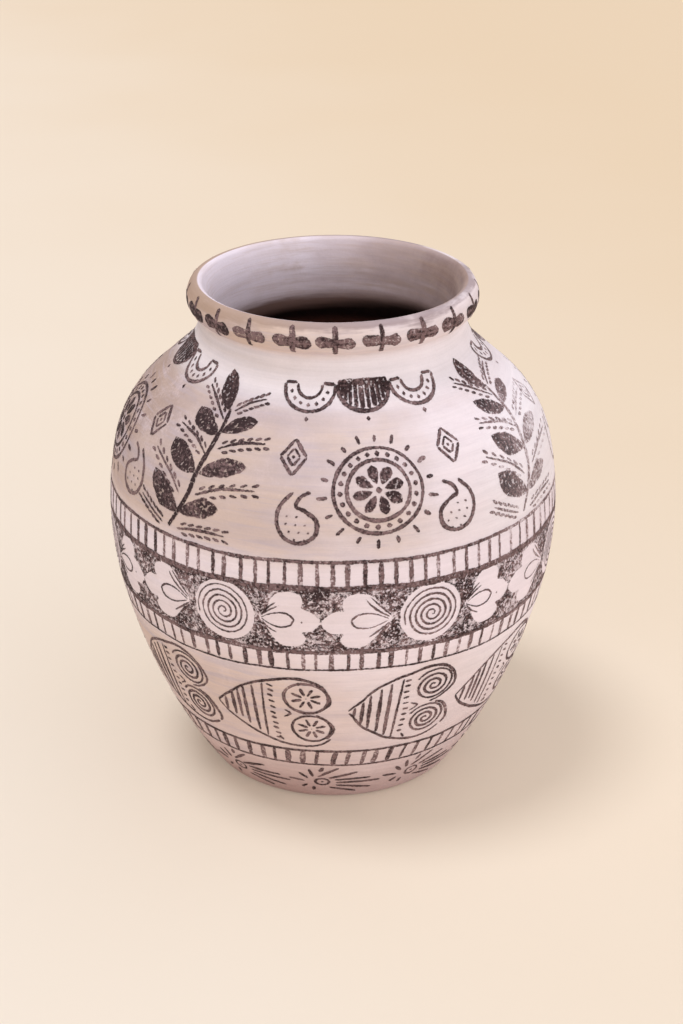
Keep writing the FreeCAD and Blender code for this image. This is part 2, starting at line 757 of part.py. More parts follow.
def make_lever_screw():
    """Cap screw with a domed head and a driver slot."""
    body = new_body("lever_screw")
    outline = new_sketch(body, "screw_outline", "XZ_Plane", dim.valve_centre)
    top = dim.hub_top + dim.cap_height
    tip = dim.hub_top - dim.screw_length
    polygon(outline, [
        (0, tip),
        (dim.screw_radius, tip),
        (dim.screw_radius, dim.hub_top),
        (dim.cap_radius, dim.hub_top),
        (dim.cap_radius, top),
        (0, top),
    ])
    turned = revolve(body, outline, "V_Axis")
    rim = find_edges(turned, lambda edge: is_circle(edge, dim.cap_radius, "z", top))
    dress(body, "Fillet", turned, rim, dim.cap_fillet)
    slot = new_sketch(body, "driver_slot", "XY_Plane", dim.valve_centre, out=top)
    half = dim.driver_slot_width / 2
    rectangle(slot, -dim.cap_radius - margin, dim.cap_radius + margin, -half, half)
    extrude(body, slot, dim.driver_slot_depth, cut=True)


def draw_spout_path(sketch):
    """The spout's centre line: out along the tap, then bent until it points straight down."""
    down = dim.tap_heading.number
    point = Vector((spout_face - margin).number, 0, 0)
    steps = [
        ("line", (dim.spout_lead + margin).number, 0, 0),
        ("arc", dim.spout_bend.number, 0, -down),
        ("line", dim.spout_drop.number, -down, -down),
    ]
    for step in steps:
        piece, _, point = step_along(point, *step)
        index = sketch.addGeometry(piece, False)
        sketch.addConstraint(Sketcher.Constraint("Block", index))
    return point


def make_tube(body, kind, name, radius, path):
    """A round bar or bore along the spout's path."""
    ring = new_sketch(body, name + "_ring", "YZ_Plane", out=spout_face - margin)
    circle(ring, radius)
    tube = body.newObject(f"PartDesign::{kind}", name)
    tube.Profile = ring
    tube.Spine = (path, ["Edge1", "Edge2", "Edge3"])
    doc.recompute()


def make_spout():
    """Screwed-in spout that holds the ball's front seat, with a bead that stops a hose."""
    body = new_body("spout")
    root = new_sketch(body, "spout_root", "XZ_Plane")
    polygon(root, [
        (front_seat_end, 0),
        (front_seat_end, dim.spigot_radius),
        (dim.barrel_end, dim.spigot_radius),
        (dim.barrel_end, dim.barrel_radius),
        (spout_face - dim.collar_cone, dim.barrel_radius),
        (spout_face, dim.barrel_radius - dim.collar_step),
        (spout_face, 0),
    ])
    revolve(body, root, "H_Axis")
    path = new_sketch(body, "spout_path", "XZ_Plane")
    outlet = draw_spout_path(path)
    make_tube(body, "AdditivePipe", "tube", dim.spout_radius, path)
    down = -dim.tap_heading.number
    bead = new_sketch(body, "hose_bead", "XZ_Plane", outlet.x, outlet.y, turn=down)
    bead_radius = dim.spout_radius + dim.bead_height
    polygon(bead, [
        (-dim.spout_drop, 0),
        (-dim.spout_drop, dim.spout_radius),
        (dim.bead_slope - dim.spout_drop, bead_radius),
        (-dim.hose_length - dim.bead_slope, bead_radius),
        (-dim.hose_length, dim.spout_radius),
        (-dim.hose_length, 0),
    ])
    revolve(body, bead, "H_Axis")
    make_tube(body, "SubtractivePipe", "tube_bore", dim.water_radius, path)
    way = new_sketch(body, "root_bore", "XZ_Plane")
    rectangle(way, front_seat_end - margin, spout_face, 0, dim.water_radius)
    revolve(body, way, "H_Axis", cut=True)


def make_tap():
    """Every piece of the tap, drawn in its own frame and then set on the wall."""
    first = len(parts)
    make_ring("outer_gasket", dim.gasket_bore, dim.gasket_radius, outer_face, flange_back)
    make_ring("inner_gasket", dim.gasket_bore, dim.gasket_radius, washer_face, inner_face)
    make_ring("backing_washer", dim.gasket_bore, dim.gasket_radius, nut_face, washer_face)
    make_back_nut()
    make_tap_body()
    thickness = dim.seat_ring_thickness
    make_ball_seat("rear_seat", dim.chamber_back, dim.chamber_back + thickness)
    make_ball_seat("front_seat", front_seat_end - thickness, front_seat_end)
    make_ball()
    make_stem()
    make_thrust_washer()
    make_stem_seal()
    make_gland_nut()
    make_lever()
    make_lever_screw()
    make_spout()
    on_wall = tap_placement()
    for piece in parts[first:]:
        piece.Placement = on_wall.multiply(piece.Placement)


def check_and_export():
    """Stops if anything failed, and otherwise writes each sub-part to its own STEP file."""
    doc.recompute()
    for item in doc.Objects:
        if "Invalid" in item.State or "Error" in item.State:
            raise RuntimeError(f"{item.Label} failed: {item.State}")
    os.makedirs("parts", exist_ok=True)
    for piece in parts:
        shape = piece.Shape
        if shape.isNull() or not shape.isValid() or len(shape.Solids) != 1:
            raise RuntimeError(f"{piece.Label} isn't one valid solid")
        shape.exportStep(f"parts/{piece.Label}.step")
        box = shape.BoundBox
        print(
            f"{piece.Label:15s} {shape.Volume:11.1f} mm3"
            f"  x {box.XMin:7.2f} {box.XMax:7.2f}  y {box.YMin:7.2f} {box.YMax:7.2f}"
            f"  z {box.ZMin:7.2f} {box.ZMax:7.2f}"
        )


make_clay_pot()
make_tap()
check_and_export()
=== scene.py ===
import bpy
import math
import random
from mathutils import Matrix, Vector


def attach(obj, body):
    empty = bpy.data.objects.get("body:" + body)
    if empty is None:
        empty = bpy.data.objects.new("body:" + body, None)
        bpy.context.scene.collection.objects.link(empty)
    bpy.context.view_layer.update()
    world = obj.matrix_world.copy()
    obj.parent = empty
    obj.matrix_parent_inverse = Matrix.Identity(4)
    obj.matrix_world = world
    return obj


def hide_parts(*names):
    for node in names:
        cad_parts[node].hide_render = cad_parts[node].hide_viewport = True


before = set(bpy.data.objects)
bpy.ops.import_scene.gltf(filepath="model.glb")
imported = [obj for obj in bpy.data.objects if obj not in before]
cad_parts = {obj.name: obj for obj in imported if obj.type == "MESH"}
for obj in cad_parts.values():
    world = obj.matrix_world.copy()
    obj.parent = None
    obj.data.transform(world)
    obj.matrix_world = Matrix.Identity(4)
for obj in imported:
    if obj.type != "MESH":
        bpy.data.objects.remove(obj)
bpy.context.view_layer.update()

mm = 0.001


class Wire:  # one output of a node, with arithmetic that adds Math nodes
    def __init__(self, sheet, node, socket):
        self.sheet, self.node, self.socket = sheet, node, socket

    def math(self, operation, *others):
        return self.sheet.math(operation, self, *others)

    def atLeast(self, other):
        return self.math("MAXIMUM", other)

    def atMost(self, other):
        return self.math("MINIMUM", other)

    def rise(self, low, high):  # 0 up to low, 1 from high on, eased between
        return self.sheet.add("ShaderNodeMapRange", {"Value": self, "From Min": low, "From Max": high},
                              interpolation_type="SMOOTHSTEP", clamp=True)

    def band(self, low, full, fading, gone):  # 1 from full to fading, 0 below low and above gone
        return self.rise(low, full) * (1 - self.rise(fading, gone))

    def other(self, name):
        return Wire(self.sheet, self.node, pickSocket(self.node.outputs, name))


# Each operator and its reflected form, so that both mask - 1 and 1 - mask work.
for sign, operation in (("add", "ADD"), ("sub", "SUBTRACT"), ("mul", "MULTIPLY"), ("truediv", "DIVIDE"),
                        ("pow", "POWER")):
    setattr(Wire, f"__{sign}__", lambda self, other, does=operation: self.sheet.math(does, self, other))
    setattr(Wire, f"__r{sign}__", lambda self, other, does=operation: self.sheet.math(does, other, self))


class NodeSheet:  # a node tree that nodes are added to
    def __init__(self, nodeTree):
        self.nodeTree = nodeTree

    def add(self, kind, values=None, out=0, **settings):
        node = self.nodeTree.nodes.new(kind)
        for name, value in settings.items():
            setattr(node, name, value)
        for name, value in (values or {}).items():
            socket = pickSocket(node.inputs, name)
            if isinstance(value, Wire):
                self.nodeTree.links.new(value.socket, socket)
            else:
                socket.default_value = (*value[:3], 1) if socket.type == "RGBA" else value
        return Wire(self, node, pickSocket(node.outputs, out)) if node.outputs else node

    def math(self, operation, *values):
        return self.add("ShaderNodeMath", dict(enumerate(values)), operation=operation)

    def vector(self, operation, *values):
        return self.add("ShaderNodeVectorMath", dict(enumerate(values)), operation=operation)

    def join(self, x, y, z):
        return self.add("ShaderNodeCombineXYZ", {0: x, 1: y, 2: z})

    def split(self, wire):
        x = self.add("ShaderNodeSeparateXYZ", {0: wire})
        return x, x.other("Y"), x.other("Z")

    def turned(self, angle, out, up):  # so far out and up, and so far round from -Y
        return self.join(out * angle.math("SINE"), out * angle.math("COSINE") * -1, up)

    def noise(self, place, scale, detail=2.0, roughness=0.5):
        values = {"Vector": place, "Scale": scale, "Detail": detail, "Roughness": roughness}
        return self.add("ShaderNodeTexNoise", values)

    def blend(self, amount, first, second):  # of two colours
        return self.add("ShaderNodeMix", {"Factor": amount, "A": first, "B": second}, data_type="RGBA")

    def coats(self, colour, *layers):  # each layer is how much it covers and its colour
        for amount, over in layers:
            colour = self.blend(amount, colour, over)
        return colour

    def shapeOf(self, thing):  # an object's geometry
        return self.add("GeometryNodeObjectInfo", {"Object": thing}, "Geometry")

    def chance(self, low, high, seed):  # a random number for each point or stroke
        values = {"Min": low, "Max": high, "ID": self.add("GeometryNodeInputIndex"), "Seed": seed}
        return self.add("FunctionNodeRandomValue", values, data_type="FLOAT")

    def store(self, geometry, name, value, kind="FLOAT", domain="POINT"):
        values = {"Geometry": geometry, "Name": name, "Value": value}
        return self.add("GeometryNodeStoreNamedAttribute", values, data_type=kind, domain=domain)

    def recall(self, name, kind="FLOAT"):
        return self.add("GeometryNodeInputNamedAttribute", {"Name": name}, "Attribute", data_type=kind)

    def move(self, geometry, how, where):  # how is Position or Offset
        return self.add("GeometryNodeSetPosition", {"Geometry": geometry, how: where})


def pickSocket(sockets, key):
    usable = [socket for socket in sockets if socket.enabled]
    if isinstance(key, int):
        return usable[key]
    return next(socket for socket in usable if key in (socket.name, socket.identifier))


def shade(red, green, blue):  # a colour as it looks on screen, from 0 to 255
    values = [channel / 255 for channel in (red, green, blue)]
    return tuple(v / 12.92 if v <= 0.04045 else ((v + 0.055) / 1.055) ** 2.4 for v in values)


def away(start, reach, heading):  # the point so far from start, with the heading in radians
    return start[0] + reach * math.cos(heading), start[1] + reach * math.sin(heading)


def spokes(count, turn):  # even headings all round, in radians, from a turn in degrees
    return [math.radians(360 / count * k + turn) for k in range(count)]


# The wall's section, in millimetres. A heading is the direction of the line where a stretch
# ends, in degrees from level. An arc is its radius and its first and last heading, and turns to
# its left where the heading grows. A straight run is None, its length and its heading.
potSection = {
    "footRadius": 70.5,
    "outside": [(8, 0, 56), (330, 56, 69), (370, 69, 77), (196, 77, 102), (68, 102, 138),
                (None, 27, 138), (30, 138, 90)],
    "lip": [(10.72, 20, 90), (13, 90, 125), (4, 125, 240)],
    "inside": [(38, 240, 270), (None, 7.5, 270), (27, 270, 318), (None, 39.5, 318),
               (42, 318, 282), (176, 282, 257), (390, 257, 249), (295, 249, 238), (26, 238, 180)],
    "longestStep": 3.0,
    "sharpestTurn": 7.0,
}


def followChain(start, chain):
    # Points along arcs and straight runs that follow on from start.
    points = [start]
    for radius, first, last in chain:
        begin = points[-1]
        if radius is None:
            steps = max(1, round(first / potSection["longestStep"]))
            points += [away(begin, first * s / steps, math.radians(last)) for s in range(1, steps + 1)]
        else:
            turn = last - first
            length = math.radians(abs(turn)) * radius
            steps = math.ceil(max(length / potSection["longestStep"], abs(turn) / potSection["sharpestTurn"]))
            side = math.radians(first) + math.copysign(math.pi / 2, turn)
            middle = away(begin, radius, side)
            points += [away(middle, radius, side + math.pi + math.radians(turn * s / steps))
                       for s in range(1, steps + 1)]
    return points[1:]


footEdge = (potSection["footRadius"], 0)
outerLine = [footEdge] + followChain(footEdge, potSection["outside"])
lipLine = followChain(outerLine[-1], potSection["lip"])
innerLine = followChain(lipLine[-1], potSection["inside"])
paintedLine = outerLine + lipLine
fullSection = [(0, 0)] + paintedLine + innerLine + [(0, innerLine[-1][1])]
paintedLengths = [0.0]
for before, after in zip(paintedLine, paintedLine[1:]):
    paintedLengths.append(paintedLengths[-1] + math.dist(before, after))


def alongWall(height):
    # How far up the outside of the wall a height is, measured on the surface from the foot's edge.
    for k, ((_, low), (_, high)) in enumerate(zip(outerLine, outerLine[1:])):
        if height <= high:
            part = (height - low) / (high - low)
            return paintedLengths[k] + part * (paintedLengths[k + 1] - paintedLengths[k])
    return paintedLengths[len(outerLine) - 1]


def makeObject(name, data):
    made = bpy.data.objects.new(name, data)
    bpy.context.scene.collection.objects.link(made)
    return made


def makeCurve(name, strokes):
    # A stroke is its points in millimetres, its half width at each and whether it closes on itself.
    data = bpy.data.curves.new(name, "CURVE")
    data.dimensions = "3D"
    for points, halves, closed in strokes:
        spline = data.splines.new("POLY")
        spline.points.add(len(points) - 1)
        spline.use_cyclic_u = closed
        for place, (x, y, z), half in zip(spline.points, points, halves):
            place.co = (x * mm, y * mm, z * mm, 1)
            place.radius = half * mm
    return makeObject(name, data)


def sectionCurve(name, line):
    return makeCurve(name, [([(r, 0, z) for r, z in line], [1] * len(line), False)])


wallLine = sectionCurve("wallLine", paintedLine)
sectionLine = sectionCurve("sectionLine", fullSection)


def geometryTree(name, inputs):
    # An input is given by the number it starts at, or by its kind.
    nodeTree = bpy.data.node_groups.new(name, "GeometryNodeTree")
    for way in ("OUTPUT", "INPUT"):
        nodeTree.interface.new_socket("Geometry", in_out=way, socket_type="NodeSocketGeometry")
    for title, start in inputs.items():
        kind = {int: "Int", float: "Float"}.get(type(start), start)
        socket = nodeTree.interface.new_socket(title, in_out="INPUT", socket_type="NodeSocket" + kind)
        if kind != start:
            socket.default_value = start
    sheet = NodeSheet(nodeTree)
    given = sheet.add("NodeGroupInput")
    return sheet, {title: given.other(title) for title in inputs}


def finishTree(sheet, geometry, material):
    real = sheet.add("GeometryNodeRealizeInstances", {"Geometry": geometry})
    smooth = sheet.add("GeometryNodeSetShadeSmooth", {"Geometry": real})
    painted = sheet.add("GeometryNodeSetMaterial", {"Geometry": smooth, "Material": material})
    sheet.add("NodeGroupOutput", {"Geometry": painted})


def growMesh(name, sheet, values):
    # Runs a tree on an empty mesh and keeps the result as a plain mesh.
    seedling = makeObject(name + "Source", bpy.data.meshes.new(name + "Source"))
    modifier = seedling.modifiers.new("grow", "NODES")
    modifier.node_group = sheet.nodeTree
    for item in sheet.nodeTree.interface.items_tree:
        if item.in_out == "INPUT" and item.name in values:
            modifier[item.identifier] = values[item.name]
    grown = seedling.evaluated_get(bpy.context.evaluated_depsgraph_get())
    mesh = bpy.data.meshes.new_from_object(grown)
    mesh.name = name
    bpy.data.objects.remove(seedling)
    return makeObject(name, mesh)


# Clay: a pale matt slip brushed over a browner body, whiter and cooler towards +X, browner towards -X:
# the slip's own tone, with painted light on the +X side and painted shade on the -X side.
# A scale with two numbers is that of marks round the pot and up it. Heights and the painted light's range
# across are in metres: two numbers are the ends of a change, and four are those of a rise and of a fall.
clay = {
    "litSideCool": shade(245, 233, 238),
    "shadedSideWarm": shade(228, 204, 191),
    "streak": shade(201, 186, 195),
    "shoulderShade": shade(172, 141, 120),
    "thickSlip": shade(252, 240, 249),
    "lowWall": shade(230, 211, 213),
    "foot": shade(202, 173, 171),
    "crest": shade(188, 160, 142),
    "crestCool": shade(172, 153, 156),
    "paintedLight": shade(253, 246, 252),
    "insideLitCool": shade(248, 236, 246),
    "insideMid": shade(216, 197, 200),
    "insideShadedWarm": shade(150, 122, 113),
    "deepShade": shade(30, 15, 12),
    "bottomLight": shade(158, 112, 98),
    "roughness": 0.88,
    "reliefDepth": 0.3 * mm,
    "patchScale": 15.0,
    "blotchScale": 55.0,
    "grainScale": 750.0,
    "ringScale": (5.0, 430.0),
    "hairScale": (30.0, 900.0),
    "strokeScale": (22.0, 190.0),
    "wideScale": (9.0, 55.0),
    "shoulderHeights": (0.17, 0.22, 0.258, 0.272),
    "bellyHeights": (0.098, 0.130, 0.175, 0.192),
    "neckLightHeights": (0.250, 0.262, 0.276, 0.284),
    "shoulderShadeHeights": (0.15, 0.2),
    "shoulderShadeEndHeights": (0.25, 0.268),
    "footHeights": (0.012, 0.062),
    "lowWallHeights": (0.02, 0.17),
    "lipHeights": (0.276, 0.282),
    "wornHeights": (0.284, 0.298),
    "lipTopHeights": (0.2965, 0.2985),
    "paintedLightAcross": (0.075, 0.115),
    "floorHeights": (0.013, 0.02),
    "throatHeights": (0.259, 0.270),
    "deepShadeHeights": (0.253, 0.261),
    "bottomLightHeights": (0.236, 0.250),
}


def newMaterial(name):
    material = bpy.data.materials.new(name)
    material.use_nodes = True
    material.node_tree.nodes.clear()
    return material, NodeSheet(material.node_tree)


def endMaterial(sheet, values):
    surface = sheet.add("ShaderNodeBsdfPrincipled", values)
    sheet.add("ShaderNodeOutputMaterial", {"Surface": surface})


def makeClay():
    material, sheet = newMaterial("paleSlipClay")
    place = sheet.add("ShaderNodeTexCoord", out="Object")
    x, y, z = sheet.split(place)
    facing = sheet.add("ShaderNodeNewGeometry", out="Normal")
    outward = sheet.vector("DOT_PRODUCT", facing, sheet.vector("NORMALIZE", sheet.join(x, y, 0.0)))
    floorInside = sheet.split(facing)[2].rise(0.3, 0.6) * (1 - z.rise(*clay["floorHeights"]))
    inside = (-0.05 - outward).rise(0.0, 0.25).atLeast(floorInside)

    def stretched(scale, detail):
        around, up = clay[scale]
        return sheet.noise(sheet.vector("MULTIPLY", place, (around, around, up)), 1.0, detail, 0.6)

    patches = sheet.noise(place, clay["patchScale"], 4.0, 0.6)
    blotches = sheet.noise(place, clay["blotchScale"], 3.0, 0.65)
    grain = sheet.noise(place, clay["grainScale"], 3.0, 0.65)
    rings, hairs = stretched("ringScale", 3.0), stretched("hairScale", 2.0)
    strokes, wide = stretched("strokeScale", 4.0), stretched("wideScale", 3.0)

    # masks of the outside: the side lit by painted light towards +X and in painted shade towards -X,
    # painted shade on the -X shoulder, greyish streaks, thin slip, the worn lip
    side = (x * 8.0 - y * 1.2 + patches * 1.4 + wide * 0.7 - 0.80).rise(0.0, 1.0)
    # painted shade on the -X shoulder, broken up by patches
    shoulderShading = ((z - 0.2) * 9.0 - x * 11.0 + patches * 1.6 + wide * 0.6 - 2.0).rise(0.0, 1.0)
    shoulderShading = shoulderShading * z.rise(*clay["shoulderShadeHeights"]) * (1 - z.rise(*clay["shoulderShadeEndHeights"]) * 0.7)
    greyed = (strokes + wide * 0.7 + patches * 0.5).rise(1.08, 1.36)
    shoulder = z.band(*clay["shoulderHeights"]) * (1 - side) * (1 - shoulderShading * 0.75)
    thin = (blotches * 0.9 + grain * 0.5 + patches * 0.4).rise(0.93, 1.2)
    height = z.rise(*clay["wornHeights"]) * 0.75 + z.rise(*clay["lipTopHeights"]) * 0.35
    worn = (strokes * 1.9 + blotches * 0.9 + height - x.rise(0.0, 0.05) * 0.15 - x * 2.6).rise(1.85, 2.4)
    crest = sheet.blend((x * 9.0 + patches).rise(-0.2, 0.9), clay["crest"], clay["crestCool"])
    slip = sheet.coats(
        # the slip's own warm-to-cool tone, with painted light on the +X side and painted shade on the -X side
        sheet.blend(side, clay["shadedSideWarm"], clay["litSideCool"]),
        # painted light: a painted highlight along the +X side
        ((x - y * 0.1 + wide * 0.02 - 0.01).rise(*clay["paintedLightAcross"]), clay["paintedLight"]),
        ((1 - (z + wide * 0.04).rise(*clay["lowWallHeights"])) * 0.8, clay["lowWall"]),
        # painted shade on the -X shoulder
        (shoulderShading * 0.92, clay["shoulderShade"]),
        (greyed * (0.72 - side * 0.58), clay["streak"]),
        (shoulder * (wide + patches * 0.6).rise(0.5, 0.95) * 0.75, clay["streak"]),
        (hairs.rise(0.55, 0.68) * (0.40 - side * 0.25), clay["streak"]),
        (thin * (0.5 - side * 0.38), clay["lowWall"]),
        (z.band(*clay["bellyHeights"]) * (side * 0.15 + 0.75), clay["thickSlip"]),
        # painted light on the neck, which the lip's overhang shades
        (z.band(*clay["neckLightHeights"]) * (side * 0.15 + 0.8), clay["paintedLight"]),
        # darker towards the foot: the foot's browner clay and painted shade near the floor, more of it
        # towards -X
        ((1 - (z + patches * 0.02).rise(*clay["footHeights"])) * (0.95 - side * 0.35), clay["foot"]),
        (worn * z.rise(*clay["lipHeights"]) * 0.92, crest))

    # the inside: painted light and shade across it, pale and cool on its -X wall and brown on its +X wall;
    # crest-coloured marks, more of them towards +X as painted shade; then painted shade, brown below the
    # throat and near black deeper down, and painted light lower still, where the real shade is deepest
    swirlAndLight = wide * 1.1 + blotches * 0.5 - x * 10.0
    rubsAndShade = x.rise(-0.07, 0.0) * 0.35 + 0.15
    lower = z + wide * 0.010 - x * 0.11 - 0.006
    within = sheet.coats(
        # painted light and shade: pale towards the -X wall, brown towards the +X wall
        sheet.blend(swirlAndLight.rise(-0.42, 0.68), clay["insideShadedWarm"], clay["insideMid"]),
        (swirlAndLight.rise(0.38, 1.08), clay["insideLitCool"]),
        ((patches * 1.2 + wide * 0.8).rise(0.95, 1.2) * (0.6 - x * 6.0), clay["insideLitCool"]),
        # crest-coloured marks, more of them towards +X as painted shade
        ((strokes + blotches * 0.6).rise(0.66, 1.05) * rubsAndShade, clay["crest"]),
        (hairs.rise(0.52, 0.64) * 0.15, clay["crest"]),
        ((wide + blotches * 0.5).rise(0.78, 0.98) * rubsAndShade, clay["crest"]),
        # painted shade: brown below the throat
        (1 - (z + strokes * 0.014 - 0.007).rise(*clay["throatHeights"]), clay["insideShadedWarm"]),
        # painted shade: near black deeper inside
        (1 - lower.rise(*clay["deepShadeHeights"]), clay["deepShade"]),
        # painted light: a lighter colour lower down, where the real shade is deepest
        (1 - z.rise(*clay["bottomLightHeights"]), clay["bottomLight"]))

    tone = rings * 0.18 + hairs * 0.12 + grain * 0.10 + blotches * 0.12 + patches * 0.12 + 0.67
    colour = sheet.vector("SCALE", sheet.blend(inside, slip, within), tone - shoulder * 0.05)
    relief = rings * 0.6 + strokes * 0.5 + grain * 0.4 + blotches * 0.6
    bump = sheet.add("ShaderNodeBump", {"Height": relief, "Distance": clay["reliefDepth"], "Strength": 0.6})
    endMaterial(sheet, {"Base Color": colour, "Roughness": thin * 0.08 + clay["roughness"], "Normal": bump})
    return material


# Paint: watered brown-black slip. It pools at a stroke's edges, dries in specks and lets clay show
# through. Towards +X it fades. A pair is where an effect starts and where it is full.
paint = {
    "thin": shade(149, 121, 122),
    "thick": shade(57, 39, 42),
    "speckScale": 620.0,
    "cloudScale": 90.0,
    "edgeScale": 850.0,
    "edgeReach": 1.5,
    "edgeWidth": 0.40,
    "poolReach": (0.15, 0.9),
    "fadeAcross": (0.058, 0.112),
    "fadeUp": (0.17, 0.2),
    "fade": 0.60,
    "fadeLow": 0.30,
    "cover": (-0.05, 0.6),
    "darken": (0.25, 1.15),
    "bareFrom": (0.60, 0.66),
    "drawnScale": (70.0, 70.0, 520.0),
    "zoneScale": 70.0,
    "zones": (0.42, 0.62),
    "curlScale": 240.0,
    "curlWidth": (0.004, 0.026),
    "tornScale": 230.0,
    "torn": (0.43, 0.49),
    "chipScale": 400.0,
    "chips": (0.648, 0.680),
    "roughness": 0.9,
}
# strength: how thick the slip lies, contrast: how much it dries in specks, pooling: darker edges,
# bare: specks of clay and bareScale: how fine they are, streaks: level brush marks, broken: gaps in it,
# loads: how much one stroke differs from the next
plainBrush = {"strength": 0.72, "contrast": 2.0, "pooling": 0.20, "bare": 0.55, "bareScale": 600.0,
              "streaks": 0.0, "broken": 0.0, "loads": 0.35}
paintKinds = {
    "brushLine": {"contrast": 2.1, "bare": 0.35, "bareScale": 780.0},
    "leafBrush": {"strength": 1.02, "contrast": 1.9, "pooling": -0.18, "bare": 0.80},
    "lipBrush": {"strength": 0.90, "bare": 0.45, "streaks": 1.8, "loads": 0.9},
    "railBrush": {"strength": 0.80, "pooling": 0.05, "bareScale": 700.0, "streaks": 0.5},
    "rungBrush": {"strength": 0.58, "contrast": 2.3, "pooling": 0.15, "bareScale": 650.0, "loads": 0.7},
    "scribbledGround": {"strength": 0.94, "contrast": 2.4, "pooling": 0.0, "bare": 0.90, "bareScale": 700.0,
                        "streaks": 1.3, "broken": 0.80, "loads": 0.0},
}


def makePaint(name, kind):
    material, sheet = newMaterial(name)
    place = sheet.add("ShaderNodeTexCoord", out="Object")
    x, _, z = sheet.split(place)
    inset = sheet.add("ShaderNodeAttribute", out="Fac", attribute_name="inset")
    load = sheet.add("ShaderNodeAttribute", out="Fac", attribute_name="load")
    specks = sheet.noise(place, paint["speckScale"], 2.0, 0.6)
    cloud = sheet.noise(place, paint["cloudScale"], 3.0, 0.6)
    ragged = sheet.noise(place, paint["edgeScale"], 3.0, 0.65)
    edge = (inset + (ragged - 0.5) * paint["edgeReach"] - kind["broken"] * 0.1).rise(0.0, paint["edgeWidth"])
    pooled = (1 - inset.rise(*paint["poolReach"])) * kind["pooling"]
    high = z.rise(*paint["fadeUp"]) * (1 - paint["fadeLow"]) + paint["fadeLow"]
    faded = x.rise(*paint["fadeAcross"]) * high * paint["fade"]
    depth = ((specks - 0.5) * kind["contrast"] + (cloud - 0.5) * 1.4 + (load - 0.5) * kind["loads"] + pooled
             - faded + kind["strength"])
    if kind["streaks"]:
        drawn = sheet.noise(sheet.vector("MULTIPLY", place, paint["drawnScale"]), 1.0, 2.0, 0.6)
        depth = depth + (drawn - 0.5) * kind["streaks"]
    if kind["broken"]:
        zone = sheet.noise(place, paint["zoneScale"], 2.0)
        depth = depth - zone.rise(*paint["zones"]) * 0.2
    cover = (depth.rise(*paint["cover"]) * 0.74 + 0.25) * (1 - faded * 0.5)
    cover = cover * (1 - sheet.noise(place, kind["bareScale"], 1.0).rise(*paint["bareFrom"]) * kind["bare"])
    if kind["broken"]:
        curl = (sheet.noise(place, paint["curlScale"], 1.5) - 0.5).math("ABSOLUTE")
        torn = (zone * 0.5 + sheet.noise(place, paint["tornScale"], 1.0) * 0.5).rise(*paint["torn"])
        chips = (sheet.noise(place, paint["chipScale"], 3.0, 0.75) + zone * 0.25).rise(*paint["chips"])
        gaps = ((1 - curl.rise(*paint["curlWidth"])) * torn).atLeast(chips)
        cover = cover * (1 - gaps * kind["broken"])
    colour = sheet.blend(depth.rise(*paint["darken"]), paint["thin"], paint["thick"])
    endMaterial(sheet, {"Base Color": colour, "Roughness": paint["roughness"], "Alpha": edge * cover})
    return material


clayMaterial = makeClay()
linePaint, leafPaint, lipPaint, railPaint, rungPaint, groundPaint = (
    makePaint(name, {**plainBrush, **kind}) for name, kind in paintKinds.items())
print("materials for the pot made")

# The pot: its section swept round the axis, a little uneven as a hand leaves it. It goes in by a
# share of the unevenness, but not near the tap or in the middle of the floor, and its lip dips.
potBody = {
    "around": 288,
    "unevenness": 0.9 * mm,
    "lumpScale": 11.0,
    "rippleScale": 90.0,
    "lumpShare": 0.75,
    "rippleShare": 0.25,
    "leastInward": 0.1,
    "evenFloor": (0.02, 0.06),
    "lipDip": 0.8,
    "lipFrom": (0.27, 0.3),
    "tapHeading": 67.0,
    "calmAroundTap": (0.028, 0.06),
    "spotFaceDepth": 1.3,
    "wallBetweenFaces": 7.3,
    "holeRadius": 8.5,
    "spotFaceRadius": 16.5,
    "cutterReach": 10.0,
    "cutterSides": 72,
}


def tapSeat():
    # The point on the outside where its heading is the tap's.
    chain = []
    for radius, first, last in potSection["outside"]:
        if radius and first <= potBody["tapHeading"] <= last:
            return followChain(footEdge, chain + [(radius, first, potBody["tapHeading"])])[-1]
        chain.append((radius, first, last))


seatRadius, seatHeight = tapSeat()
seatPoint = Vector((0, seatRadius * mm, seatHeight * mm))
tapLean = math.radians(90 - potBody["tapHeading"])
tapOutward = Vector((0, math.cos(tapLean), -math.sin(tapLean)))


